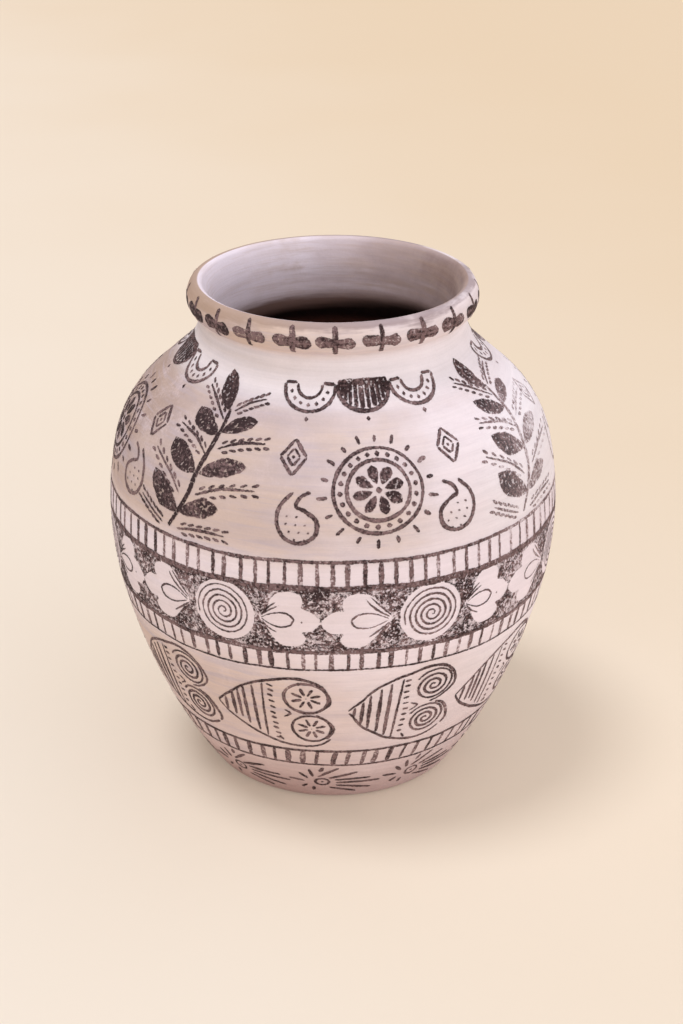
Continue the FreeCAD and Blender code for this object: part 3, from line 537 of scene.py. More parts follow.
def sweepTree():
    sheet, given = geometryTree("thrownWall", {
        "Section": "Object", "Rows": 100, "Around": 256, "Unevenness": 0.001, "Lump scale": 10.0,
        "Ripple scale": 90.0, "Seat": "Vector", "Calm from": 0.03, "Calm to": 0.06, "Clay": "Material"})
    grid = sheet.add("GeometryNodeMeshGrid", {
        "Size X": 1.0, "Size Y": 1.0, "Vertices X": given["Around"] + 1, "Vertices Y": given["Rows"]})
    place = sheet.add("GeometryNodeInputPosition")
    u, v, _ = sheet.split(place)
    row = ((v + 0.5) * (given["Rows"] - 1)).math("ROUND")
    spot = sheet.add("GeometryNodeSampleIndex", {
        "Geometry": sheet.shapeOf(given["Section"]), "Value": place, "Index": row}, data_type="FLOAT_VECTOR")
    r, _, z = sheet.split(spot)
    angle = (u + 0.5) * (2 * math.pi)
    swept = sheet.turned(angle, r, z)
    lumps = sheet.noise(swept, given["Lump scale"], 1.5)
    ripple = sheet.noise(sheet.join(0.0, 0.0, z), given["Ripple scale"], 1.0)
    calm = sheet.vector("DISTANCE", swept, given["Seat"]).rise(given["Calm from"], given["Calm to"])
    dents = lumps * potBody["lumpShare"] + ripple * potBody["rippleShare"] + potBody["leastInward"]
    inward = given["Unevenness"] * calm * dents * r.rise(*potBody["evenFloor"])
    lower = z - given["Unevenness"] * potBody["lipDip"] * lumps * z.rise(*potBody["lipFrom"])
    shaped = sheet.move(grid, "Position", sheet.turned(angle, (r - inward).atLeast(0.0), lower))
    welded = sheet.add("GeometryNodeMergeByDistance", {"Geometry": shaped, "Distance": 1e-6})
    finishTree(sheet, welded, given["Clay"])
    return sheet


def latheMesh(name, profile, sides, frameMatrix):
    # A closed turned solid: profile is (distance along the axis, radius), starting and ending on the axis.
    points, rings, faces = [], [], []
    for along, radius in profile:
        if radius == 0:
            rings.append([len(points)] * sides)
            points.append((along, 0, 0))
        else:
            rings.append(list(range(len(points), len(points) + sides)))
            points += [(along, *away((0, 0), radius, 2 * math.pi * k / sides)) for k in range(sides)]
    for first, second in zip(rings, rings[1:]):
        for k in range(sides):
            after = (k + 1) % sides
            loop = [first[k], first[after], second[after], second[k]]
            faces.append([p for n, p in enumerate(loop) if p not in loop[:n]])
    mesh = bpy.data.meshes.new(name)
    mesh.from_pydata([frameMatrix @ Vector(p) for p in points], [], faces)
    mesh.validate()
    faceOutwards(mesh)
    return makeObject(name, mesh)


def signedVolume(mesh):
    mesh.calc_loop_triangles()
    places = [vertex.co for vertex in mesh.vertices]
    return sum(places[a].dot(places[b].cross(places[c])) for a, b, c in
               (triangle.vertices for triangle in mesh.loop_triangles)) / 6


def faceOutwards(mesh):
    if signedVolume(mesh) < 0:
        mesh.flip_normals()


def cutTapHole(pot):
    outerFace = -potBody["spotFaceDepth"]
    innerFace = outerFace - potBody["wallBetweenFaces"]
    reach, spot, hole = potBody["cutterReach"], potBody["spotFaceRadius"], potBody["holeRadius"]
    steps = [(outerFace + reach, 0), (outerFace + reach, spot), (outerFace, spot), (outerFace, hole),
             (innerFace, hole), (innerFace, spot), (innerFace - reach, spot), (innerFace - reach, 0)]
    sideways = Vector((1, 0, 0))
    turned = Matrix((tapOutward, sideways, tapOutward.cross(sideways))).transposed().to_4x4()
    cutter = latheMesh("tapCutter", [(a * mm, r * mm) for a, r in steps], potBody["cutterSides"],
                       Matrix.Translation(seatPoint) @ turned)
    cut = pot.modifiers.new("tapHole", "BOOLEAN")
    cut.operation, cut.solver, cut.object = "DIFFERENCE", "EXACT", cutter
    result = pot.evaluated_get(bpy.context.evaluated_depsgraph_get())
    mesh = bpy.data.meshes.new_from_object(result)
    pot.modifiers.clear()
    pot.data = mesh
    bpy.data.objects.remove(cutter)


def tellPot(stage):
    print(f"{stage},", len(pot.data.polygons), "faces,", round(signedVolume(pot.data) * 1e6), "cm3 of clay")


pot = growMesh("thrownPot", sweepTree(), {
    "Section": sectionLine, "Rows": len(fullSection), "Around": potBody["around"],
    "Unevenness": potBody["unevenness"], "Lump scale": potBody["lumpScale"],
    "Ripple scale": potBody["rippleScale"], "Seat": seatPoint, "Calm from": potBody["calmAroundTap"][0],
    "Calm to": potBody["calmAroundTap"][1], "Clay": clayMaterial})
faceOutwards(pot.data)
tellPot("pot swept")
cutTapHole(pot)
tellPot("tap hole cut")


def ontoWall(sheet, flat, radius, wall):
    # Flat positions (along a band, up the wall) to the wall's surface and its outward direction.
    x, y, _ = sheet.split(flat)
    spot = sheet.add("GeometryNodeSampleCurve", {"Curves": wall, "Length": y}, "Position",
                     mode="LENGTH", use_all_curves=True)
    r, _, z = sheet.split(spot)
    ahead, _, up = sheet.split(spot.other("Tangent"))
    angle = x / radius
    return sheet.turned(angle, r, z), sheet.turned(angle, up, ahead * -1)


def settleOnPot(sheet, geometry, given):
    # Each point goes to the nearest place on the pot, then out by the paint's thickness.
    near = sheet.add("GeometryNodeProximity", {"Target": sheet.shapeOf(given["Pot"])}, "Position",
                     target_element="FACES")
    lift = sheet.vector("SCALE", sheet.recall("outward", "FLOAT_VECTOR"), given["Lift"])
    return sheet.move(geometry, "Position", sheet.vector("ADD", lift, near))


def copiesOf(sheet, given):
    # The motif, drawn flat round its own centre, repeated along the band with small differences.
    def stray(reach, turn):
        return given["Drift"] * sheet.chance(-reach, reach, given["Seed"] + turn)

    index = sheet.add("GeometryNodeInputIndex")
    x = (given["First"] + index * given["Step"]) * given["Radius"] + stray(1.0, 0)
    y = given["Height"] + stray(0.5, 1)
    points = sheet.add("GeometryNodePoints", {"Count": given["Count"], "Position": sheet.join(x, y, 0.0)})
    size = stray(14.0, 2) + 1
    copies = sheet.add("GeometryNodeInstanceOnPoints", {
        "Points": points, "Instance": sheet.shapeOf(given["Motif"]), "Scale": sheet.join(size, size, 1.0)})
    return sheet.add("GeometryNodeRealizeInstances", {"Geometry": copies})


def smoothed(sheet, strokes, resolution):
    curved = sheet.add("GeometryNodeCurveSplineType", {"Curve": strokes}, spline_type="CATMULL_ROM")
    finer = sheet.add("GeometryNodeSetSplineResolution", {"Geometry": curved, "Resolution": resolution})
    return sheet.add("GeometryNodeResampleCurve", {"Curve": finer}, mode="EVALUATED")


bandInputs = {
    "Motif": "Object", "Wall line": "Object", "Pot": "Object", "Radius": 0.12, "Count": 1, "First": 0.0,
    "Step": 1.0, "Height": 0.0, "Drift": 0.0, "Lift": 0.0002, "Seed": 1, "Paint": "Material",
}


def brushTree():
    sheet, given = geometryTree("brushStrokes", {
        **bandInputs, "Waver": 0.0003, "Waver scale": 55.0, "Uneven": 0.1, "Swelling scale": 140.0,
        "Stride": 0.0012, "Fewest points": 7, "Lanes": 2})
    strokes = smoothed(sheet, copiesOf(sheet, given), 8)
    place = sheet.add("GeometryNodeInputPosition")
    onWall, outward = ontoWall(sheet, place, given["Radius"], sheet.shapeOf(given["Wall line"]))
    strokes = sheet.move(sheet.store(strokes, "outward", outward, "FLOAT_VECTOR"), "Position", onWall)
    length = sheet.add("GeometryNodeSplineLength", out="Length")
    steps = (length / given["Stride"] + 1).atLeast(given["Fewest points"])
    strokes = sheet.add("GeometryNodeResampleCurve", {"Curve": strokes, "Count": steps}, mode="COUNT")
    waver = sheet.noise(place, given["Waver scale"], 2.0).other("Color")
    waver = sheet.vector("SUBTRACT", waver, (0.5, 0.5, 0.5))
    strokes = sheet.move(strokes, "Offset", sheet.vector("SCALE", waver, given["Waver"] * 2))
    half = sheet.add("GeometryNodeInputRadius")
    bulk = sheet.chance(1 - given["Uneven"], given["Uneven"] + 1, given["Seed"] + 3)
    strokes = sheet.store(strokes, "bulk", bulk, domain="CURVE")
    swelling = sheet.noise(place, given["Swelling scale"], 2.0) * 0.8 + 0.6
    strokes = sheet.add("GeometryNodeSetCurveRadius", {
        "Curve": strokes, "Radius": half * sheet.recall("bulk") * swelling})
    done = sheet.add("GeometryNodeSplineParameter", out="Length")
    strokes = sheet.store(strokes, "fromEnd", done.atMost(length - done) / half)
    strokes = sheet.store(strokes, "half", half)
    strokes = sheet.store(strokes, "load", sheet.chance(0.0, 1.0, given["Seed"] + 7), domain="CURVE")
    strokes = sheet.add("GeometryNodeSetCurveNormal", {
        "Curve": strokes, "Normal": sheet.recall("outward", "FLOAT_VECTOR")}, mode="FREE")
    lane = sheet.add("GeometryNodeCurvePrimitiveLine", {"Start": (0.0, -1.0, 0.0), "End": (0.0, 1.0, 0.0)})
    lane = sheet.add("GeometryNodeResampleCurve", {"Curve": lane, "Count": given["Lanes"] + 1}, mode="COUNT")
    lane = sheet.store(lane, "across", sheet.split(place)[1])
    ribbon = sheet.add("GeometryNodeCurveToMesh", {"Curve": strokes, "Profile Curve": lane, "Scale": half})
    across, tip = sheet.recall("across"), (1 - sheet.recall("fromEnd")).atLeast(0.0)
    inset = (1 - (across ** 2 + tip ** 2) ** 0.5) * sheet.recall("half") / mm
    ribbon = settleOnPot(sheet, sheet.store(ribbon, "inset", inset), given)
    for name in ("outward", "fromEnd", "half", "across", "bulk"):
        ribbon = sheet.add("GeometryNodeRemoveAttribute", {"Geometry": ribbon, "Name": name})
    finishTree(sheet, ribbon, given["Paint"])
    return sheet


def groundTree():
    sheet, given = geometryTree("paintedGround", {**bandInputs, "Bottom": 0.1, "Top": 0.2, "Cell": 0.0013})
    shapes = smoothed(sheet, copiesOf(sheet, given), 6)
    wide, tall = given["Radius"] * (2 * math.pi), given["Top"] - given["Bottom"]
    grid = sheet.add("GeometryNodeMeshGrid", {
        "Size X": wide, "Size Y": tall, "Vertices X": wide / given["Cell"] + 1,
        "Vertices Y": tall / given["Cell"] + 1})
    grid = sheet.move(grid, "Offset", sheet.join(0.0, (given["Top"] + given["Bottom"]) / 2, 0.0))
    bare = sheet.add("GeometryNodeFillCurve", {"Curve": shapes}, mode="TRIANGLES")
    outlines = sheet.add("GeometryNodeCurveToMesh", {"Curve": shapes})
    gap = sheet.add("GeometryNodeProximity", {"Target": bare}, "Distance", target_element="FACES")
    reach = sheet.add("GeometryNodeProximity", {"Target": outlines}, "Distance", target_element="EDGES")
    outside = (gap * 1e6).atMost(1.0) * 2 - 1  # -1 within a shape, 1 outside
    grid = sheet.store(grid, "inset", reach * outside / mm)
    place = sheet.add("GeometryNodeInputPosition")
    onWall, outward = ontoWall(sheet, place, given["Radius"], sheet.shapeOf(given["Wall line"]))
    grid = sheet.move(sheet.store(grid, "outward", outward, "FLOAT_VECTOR"), "Position", onWall)
    grid = settleOnPot(sheet, grid, given)
    grid = sheet.add("GeometryNodeRemoveAttribute", {"Geometry": grid, "Name": "outward"})
    grid = sheet.add("GeometryNodeMergeByDistance", {"Geometry": grid, "Distance": 1e-5})
    finishTree(sheet, grid, given["Paint"])
    return sheet


# How a stroke is drawn. A ring goes from 20 to 395 degrees, so its ends overlap, and a spiral has so
# many points in each turn.
brushHabits = {
    "ringTurns": range(20, 396, 15),
    "spiralSteps": 14,
    "leafSteps": 8,
    "leafBlunt": 0.62,
    "leafTip": 0.06,
}


class Motif:  # brush strokes drawn flat, in millimetres, round a centre on the unrolled wall
    def __init__(self, name, radius, centre):
        self.name, self.radius, self.strokes = name, radius, []
        self.middle = (0, 0)
        self.middle = self.at(*centre)

    def at(self, around, height):  # degrees round the pot, height above the floor
        return (math.radians(around) * self.radius - self.middle[0], alongWall(height) - self.middle[1])

    def flat(self, points, width, ends, closed=False):  # ends: how wide the ends are, from 0 to 1
        if len(points) == 2:
            (x0, y0), (x1, y1) = points
            points = [(x0 + (x1 - x0) * t, y0 + (y1 - y0) * t) for t in (0, 0.25, 0.5, 0.75, 1)]
        last = len(points) - 1
        halves = [width / 2 * (ends + (1 - ends) * math.sin(math.pi * k / last)) for k in range(len(points))]
        self.strokes.append((points, halves, closed))

    def line(self, spots, width, ends, closed=False):
        self.flat([self.at(*spot) for spot in spots], width, ends, closed)

    def dot(self, x, y, size):
        self.flat([(x - size / 2, y), (x + size / 2, y)], size, 1.0)

    def ring(self, x, y, radius, width):
        self.flat([away((x, y), radius, math.radians(turn)) for turn in brushHabits["ringTurns"]], width, 0.8)

    def spiral(self, x, y, radius, pitch, width, start):  # clockwise, from the outside in
        rounds = radius / pitch
        steps = int(rounds * brushHabits["spiralSteps"])
        self.flat([away((x, y), radius - pitch * rounds * k / steps,
                        math.radians(start) - 2 * math.pi * rounds * k / steps)
                   for k in range(steps + 1)], width, 0.75)

    def leaf(self, base, tip, width, bend, fullAt):
        (x0, y0), (x1, y1) = base, tip
        points, halves = [], []
        steps, thin = brushHabits["leafSteps"], brushHabits["leafTip"]
        for k in range(steps + 1):
            t = k / steps
            swell = math.sin(math.pi * t ** (math.log(0.5) / math.log(fullAt)))
            side = bend * math.sin(math.pi * t)
            points.append((x0 + (x1 - x0) * t - (y1 - y0) * side, y0 + (y1 - y0) * t + (x1 - x0) * side))
            halves.append(width / 2 * (thin + (1 - thin) * swell ** brushHabits["leafBlunt"]))
        self.strokes.append((points, halves, False))

    def make(self):
        return makeCurve(self.name, [([(x, y, 0) for x, y in points], halves, closed)
                                     for points, halves, closed in self.strokes])


brushStrokes = brushTree()
paintedGround = groundTree()
paintPieces = []


def paintMotif(name, motif, material, count=1, first=0.0, step=0.0, height=0.0, drift=0.0, seed=1,
               waver=0.35, uneven=0.1, lift=0.18, lanes=2, tree=brushStrokes, **extra):
    # first and step are in degrees, height along the wall, drift, waver and lift in millimetres
    source = motif.make()
    piece = growMesh(name, tree, {
        "Motif": source, "Wall line": wallLine, "Pot": pot, "Radius": motif.radius * mm, "Count": count,
        "First": math.radians(first), "Step": math.radians(step), "Height": height * mm, "Drift": drift * mm,
        "Lift": lift * mm, "Seed": seed, "Paint": material, "Waver": waver * mm, "Uneven": uneven,
        "Lanes": lanes, **extra})
    bpy.data.objects.remove(source)
    paintPieces.append(piece)
    print("painted", name, len(piece.data.polygons), "faces")


# Ladders: two rails with rungs between them, three times round the pot.
ladders = {
    "upper": {"rails": [(183.3, 2.3), (167.7, 3.6)], "radius": 128, "rungs": 96, "rungWidth": 2.6,
              "lean": 0.0, "seed": 11},
    "middle": {"rails": [(127.0, 3.0), (114.3, 1.7)], "radius": 128, "rungs": 96, "rungWidth": 2.6,
               "lean": 0.0, "seed": 23},
    "lower": {"rails": [(48.3, 2.2), (35.3, 2.0)], "radius": 98, "rungs": 74, "rungWidth": 2.9,
              "lean": -1.6, "seed": 37},
}
railHabits = {
    "first": -188,
    "spacing": 8,
    "spots": 48,
    "sway": 0.5,
    "swayTurn": 0.7,
    "tremble": 0.35,
}


def paintLadder(name, values):
    chance = random.Random(values["seed"])
    radius = values["radius"]
    rails = Motif(name + "RailLines", radius, (0, 0))
    first, spots, tremble = railHabits["first"], railHabits["spots"], railHabits["tremble"]
    for height, width in values["rails"]:
        level = alongWall(height)
        sway = [railHabits["sway"] * math.sin(k * railHabits["swayTurn"] + values["seed"])
                + chance.uniform(-tremble, tremble) for k in range(-1, spots - 1)]
        rails.flat([(math.radians(first + railHabits["spacing"] * k) * radius, level + sway[k])
                    for k in range(spots)], width, 0.9)
    paintMotif(name + "Rails", rails, railPaint, seed=values["seed"], lift=0.20, waver=0.5)
    high, low = (alongWall(height) for height, _ in values["rails"])
    span, lean = (high - low) / 2, values["lean"] / 2
    rung = Motif(name + "RungLine", radius, (0, 0))
    rung.flat([(lean, -span), (-lean, span)], values["rungWidth"], 0.85)
    paintMotif(name + "Rungs", rung, rungPaint, values["rungs"], 0.0, 360 / values["rungs"], (high + low) / 2,
               drift=1.0, seed=values["seed"], lift=0.16, waver=0.7, uneven=0.3)


for name, values in ladders.items():
    paintLadder(name + "Ladder", values)

# Middle band: spirals and pairs of flowers left bare in a dark scribbled ground.
middleBand = {
    "radius": 131.0,
    "repeats": 7,
    "discAt": (-27.0, 148.0),
    "discRadius": 18.3,
    "discWobble": 0.02,
    "spiralRadius": 16.6,
    "spiralPitch": 3.3,
    "spiralWidth": 1.6,
    "spiralStart": 200,
    "flowersAt": (-1.1, 148.0),
    "groundHeights": (127.3, 167.1),
    "cell": 1.3,
    "veinWidth": 1.5,
    "seeds": [(-9.4, 147.5), (-7.2, 147.2)],
    "seedSize": 1.3,
}
leftFlower = [(-17.6, 148), (-15.6, 152.5), (-15.0, 158.5), (-13.0, 164), (-9.4, 165.3), (-7.2, 162),
              (-7.4, 156), (-5.2, 153.6), (-3.0, 147.6), (-5.0, 141.8), (-7.4, 140.8), (-6.4, 136.4),
              (-8.2, 131.8), (-12.0, 131.4), (-14.2, 135.6), (-15.8, 142.6)]
rightFlower = [(14.4, 148), (12.4, 153.4), (11.4, 157.4), (9.4, 163), (6.0, 164.8), (3.0, 162.2),
               (2.6, 156.6), (3.4, 154.2), (0.2, 153.6), (-2.5, 147), (-0.4, 140.8), (3.0, 140.2),
               (2.0, 136.4), (3.6, 131.6), (7.4, 131.2), (10.0, 136), (12.2, 142.6)]
leftVeins = [[(-17.2, 148), (-14.4, 151.4), (-11.2, 152.2), (-9.4, 149.6), (-9.3, 147.2), (-10.6, 144),
              (-13.6, 143.4), (-17.2, 147.6)],
             [(-17.3, 149), (-15.2, 153.2), (-12.6, 156.6)], [(-17.2, 149.6), (-15.4, 154.8), (-13.4, 158.6)],
             [(-17.2, 147), (-15.4, 142.2), (-13.2, 139.4)], [(-7.0, 162.6), (-6.0, 158.8), (-5.4, 155.6)]]
rightVeins = [[(13.8, 148), (10.2, 152), (7.0, 152.4), (5.0, 149.8), (4.8, 147), (6.2, 143.8), (9.6, 143.6),
               (13.6, 147.4)],
              [(14.0, 149.4), (11.2, 153.6), (9.2, 157.8), (8.0, 161.6)],
              [(14.2, 150.4), (12.4, 154.6), (10.4, 159.4), (9.0, 163)],
              [(14.0, 146.4), (11.4, 141.6), (8.8, 137.2)], [(14.3, 145.6), (12.4, 141), (10.4, 136.4)]]


def bareShapes():
    shapes = Motif("bareShapes", middleBand["radius"], middleBand["flowersAt"])
    x, y = shapes.at(*middleBand["discAt"])
    radius, wobble = middleBand["discRadius"], middleBand["discWobble"]
    shapes.flat([(x + radius * math.cos(k * math.pi / 12) * (1 + wobble * math.sin(3 * k)),
                  y + radius * math.sin(k * math.pi / 12)) for k in range(24)], 1.0, 1.0, True)
    for outline in (leftFlower, rightFlower):
        shapes.line(outline, 1.0, 1.0, True)
    return shapes


def paintMiddleBand():
    repeats = middleBand["repeats"]
    step = 360 / repeats
    flowers, discs = middleBand["flowersAt"], middleBand["discAt"]
    middle = alongWall(flowers[1])
    bottom, top = (alongWall(level) * mm for level in middleBand["groundHeights"])
    paintMotif("bandGround", bareShapes(), groundPaint, repeats + 2, flowers[0] - step * 4, step, middle,
               lift=0.10, tree=paintedGround, Bottom=bottom, Top=top, Cell=middleBand["cell"] * mm)
    disc = Motif("disc", middleBand["radius"], discs)
    disc.spiral(0, 0, middleBand["spiralRadius"], middleBand["spiralPitch"], middleBand["spiralWidth"],
                middleBand["spiralStart"])
    paintMotif("bandSpirals", disc, linePaint, repeats, discs[0] - step * 3, step, middle, drift=0.5, seed=41,
               waver=0.7)
    veins = Motif("veins", middleBand["radius"], flowers)
    for line in leftVeins + rightVeins:
        veins.line(line, middleBand["veinWidth"], 0.5)
    for spot in middleBand["seeds"]:
        veins.dot(*veins.at(*spot), middleBand["seedSize"])
    paintMotif("flowerVeins", veins, linePaint, repeats, flowers[0] - step * 3, step, middle, drift=0.3,
               seed=47)


paintMiddleBand()

# Hearts: lying on their sides, by turns with two rosettes and with two spirals in their lobes.
# A bar is where it stands round the pot, and the heights of its ends.
heartBand = {
    "radius": 115.0,
    "pairs": 5,
    "at": (2.5, 80.0),
    "outlineWidth": 2.4,
    "barWidth": 2.6,
    "barLean": 0.3,
    "thinBarWidth": 2.0,
    "thinBarBow": (-0.4, 0.1, 0.7),
    "lobeWidth": 2.2,
    "lobePitch": 3.6,
    "lobeStart": 150,
    "petals": 8,
    "petalWidth": 2.3,
    "petalReach": (2.2, 8.8),
    "petalTurn": 20,
    "seedSize": 1.2,
    "dashWidth": 2.1,
    "dashReach": 1.9,
    "dashSlant": 0.7,
    "cornerWidth": 1.8,
}
rosetteHeart = {
    "outline": [[(-34.6, 79.5), (-32, 84.5), (-28.6, 90.8), (-24.7, 97), (-20, 102.5), (-15, 106),
                 (-10, 107.8), (-6, 106.5), (-3, 102.5), (-1.2, 95), (-1, 90), (-2, 86.5), (-5, 82),
                 (-9, 81)],
                [(-5, 80.5), (-2, 76), (0, 70), (-0.3, 65), (-2, 60)],
                [(-0.5, 60.5), (-3, 56), (-6, 53.5), (-10, 52.8), (-15, 54), (-19, 56.5), (-24, 61),
                 (-28, 66), (-31, 70.5), (-33, 74.5), (-34.6, 79.8)]],
    "bars": [(-32, 73, 84), (-29.3, 71, 90), (-27.3, 70, 93), (-25.3, 66, 97), (-22.5, 62, 99)],
    "thinBar": (-19.8, 59, 102),
    "dashes": [(-17, 101), (-16.8, 97), (-17.2, 93), (-17, 88.5), (-16.8, 84), (-17.1, 79.5), (-17, 75.5),
               (-16.8, 71), (-17, 67), (-16.6, 62.5), (-16.8, 58.5)],
    "slant": -1,
    "rosettes": [((-7.3, 93), 12.0), ((-6.3, 68.6), 11.4)],
    "corner": [[(-13.8, 83.5), (-12, 80.4), (-14, 77)], [(-16.5, 60.5), (-15.2, 57)]],
}
spiralHeart = {
    "outline": [[(4.2, 83), (5, 85), (8, 91), (10, 96), (13, 101), (17.5, 105.5), (21, 107.5), (25, 109.7),
                 (28, 109.7), (31, 107.5), (33.5, 103), (35, 97), (35.3, 92), (34, 88), (31, 84), (28, 82)],
                [(30, 81), (33, 78), (35, 72), (36.2, 64), (35, 59.5)],
                [(4.4, 82), (5.5, 79), (8, 71), (10, 67), (12.5, 63.5), (16, 58.5), (19, 56.3), (22, 54.5),
                 (25, 53.5), (29, 54), (32, 56), (34.5, 59)]],
    "bars": [(5.8, 78, 86), (8, 72, 90), (10, 68, 95), (12.8, 64, 99), (15.4, 60, 102)],
    "thinBar": (18.2, 57.5, 104.5),
    "dashes": [(20.3, 102.5), (20.4, 98.5), (20.2, 94), (20.4, 89.5), (20.6, 85), (20.8, 80.5), (20.7, 76),
               (20.7, 71.5), (20.5, 67), (20.3, 62.5)],
    "slant": 0.3,
    "spirals": [((28.4, 95.0), 12.6), ((28.2, 68.5), 12.8)],
    "corner": [[(22, 84.4), (24.4, 81.6), (22, 78)], [(21, 60), (22.5, 55.6)]],
}


def drawHeart(motif, shape):
    for line in shape["outline"]:
        motif.line(line, heartBand["outlineWidth"], 0.7)
    for around, low, high in shape["bars"]:
        motif.line([(around, low), (around + heartBand["barLean"], high)], heartBand["barWidth"], 0.65)
    around, low, high = shape["thinBar"]
    motif.line([(around + aside, level) for aside, level in
                zip(heartBand["thinBarBow"], (low, (low + high) / 2, high))], heartBand["thinBarWidth"], 0.7)
    reach, slant = heartBand["dashReach"], shape["slant"] * heartBand["dashSlant"]
    for spot in shape["dashes"]:
        x, y = motif.at(*spot)
        motif.flat([(x - reach, y - slant), (x + reach, y + slant)], heartBand["dashWidth"], 0.8)
    for line in shape["corner"]:
        motif.line(line, heartBand["cornerWidth"], 0.7)
    for centre, radius in shape.get("rosettes", []):
        spot = motif.at(*centre)
        motif.ring(*spot, radius, heartBand["lobeWidth"])
        for angle in spokes(heartBand["petals"], heartBand["petalTurn"]):
            motif.flat([away(spot, reach, angle) for reach in heartBand["petalReach"]],
                       heartBand["petalWidth"], 0.8)
        motif.dot(*spot, heartBand["seedSize"])
    for centre, radius in shape.get("spirals", []):
        motif.spiral(*motif.at(*centre), radius, heartBand["lobePitch"], heartBand["lobeWidth"],
                     heartBand["lobeStart"])


def paintHearts():
    pair = Motif("heartPair", heartBand["radius"], heartBand["at"])
    drawHeart(pair, rosetteHeart)
    drawHeart(pair, spiralHeart)
    step = 360 / heartBand["pairs"]
    paintMotif("hearts", pair, linePaint, heartBand["pairs"], heartBand["at"][0] - 2 * step, step,
               alongWall(heartBand["at"][1]), drift=0.25, seed=53, waver=0.5)


paintHearts()

# Leaf sprigs on the shoulder, each with fronds of fine dashes beside it.
sprig = {
    "radius": 116.0,
    "at": (-38.0, 222.0),
    "places": [-37.0, 62.0, 150.0, 236.0],
    "stem": [(-45, 188), (-42, 199), (-39.5, 210), (-38.5, 220), (-36.5, 235), (-36, 243), (-36.5, 251)],
    "stemWidth": 3.0,
    "leaves": [((-42.2, 198), (-53, 215.5), 13.0), ((-41.5, 198), (-30, 206), 11.0),
               ((-38.6, 221), (-50, 233), 12.4), ((-37.6, 221), (-24, 229), 10.4),
               ((-36.4, 240), (-48, 248), 11.6), ((-35.6, 241), (-25, 248), 9.8),
               ((-36.8, 250), (-43, 267), 11.8)],
    "fronds": [[(-42, 188.5), (-35, 191.5), (-27.5, 191.5)], [(-37.5, 210), (-30, 216.5), (-20.5, 218.5)],
               [(-34.5, 234), (-28, 238.5), (-20, 240)], [(-35, 250), (-30, 255), (-24.5, 257.5)],
               [(-47, 189), (-51, 193), (-56.5, 199)], [(-42.4, 208), (-47, 217), (-55.5, 225.5)],
               [(-37.6, 230.5), (-43, 236.5), (-51.5, 239.5)], [(-37, 246), (-44, 253), (-50.5, 257.5)]],
    "frondWidth": 2.0,
    "dashes": 6,
    "dashLength": 4.6,
    "dashWidth": 2.0,
    "dashAside": 2.9,
    "dashLean": 0.25,
}


def drawFrond(motif, spots):
    # A line through three spots, with a row of slanting dashes on each side of it.
    points = [motif.at(*spot) for spot in spots]
    motif.flat(points, sprig["frondWidth"], 0.6)
    for k in range(1, sprig["dashes"] + 1):
        t = k / sprig["dashes"]
        weights, slopes = ((1 - t) ** 2, 2 * t * (1 - t), t ** 2), (t - 1, 1 - 2 * t, t)
        spot = [sum(w * p[axis] for w, p in zip(weights, points)) for axis in (0, 1)]
        dx, dy = (sum(s * p[axis] for s, p in zip(slopes, points)) for axis in (0, 1))
        heading = math.atan2(dy, dx)
        for side in (-1, 1):
            middle = away(spot, sprig["dashAside"], heading + side * math.pi / 2)
            lean, half = heading + side * sprig["dashLean"], sprig["dashLength"] / 2
            motif.flat([away(middle, -half, lean), away(middle, half, lean)], sprig["dashWidth"], 0.6)


def paintSprigs():
    leaves = Motif("sprigLeaves", sprig["radius"], sprig["at"])
    stems = Motif("sprigStems", sprig["radius"], sprig["at"])
    for base, tip, width in sprig["leaves"]:
        leaves.leaf(leaves.at(*base), leaves.at(*tip), width, 0.06, 0.54)
    leaves.line(sprig["stem"], sprig["stemWidth"], 0.7)
    for frond in sprig["fronds"]:
        drawFrond(stems, frond)
    level = alongWall(sprig["at"][1])
    for k, around in enumerate(sprig["places"]):
        shared = {"first": around, "height": level, "drift": 0.4, "seed": 61 + k, "waver": 0.5}
        paintMotif(f"sprigLeaves{k + 1}", leaves, leafPaint, lanes=8, **shared)
        paintMotif(f"sprigStems{k + 1}", stems, linePaint, **shared)


paintSprigs()

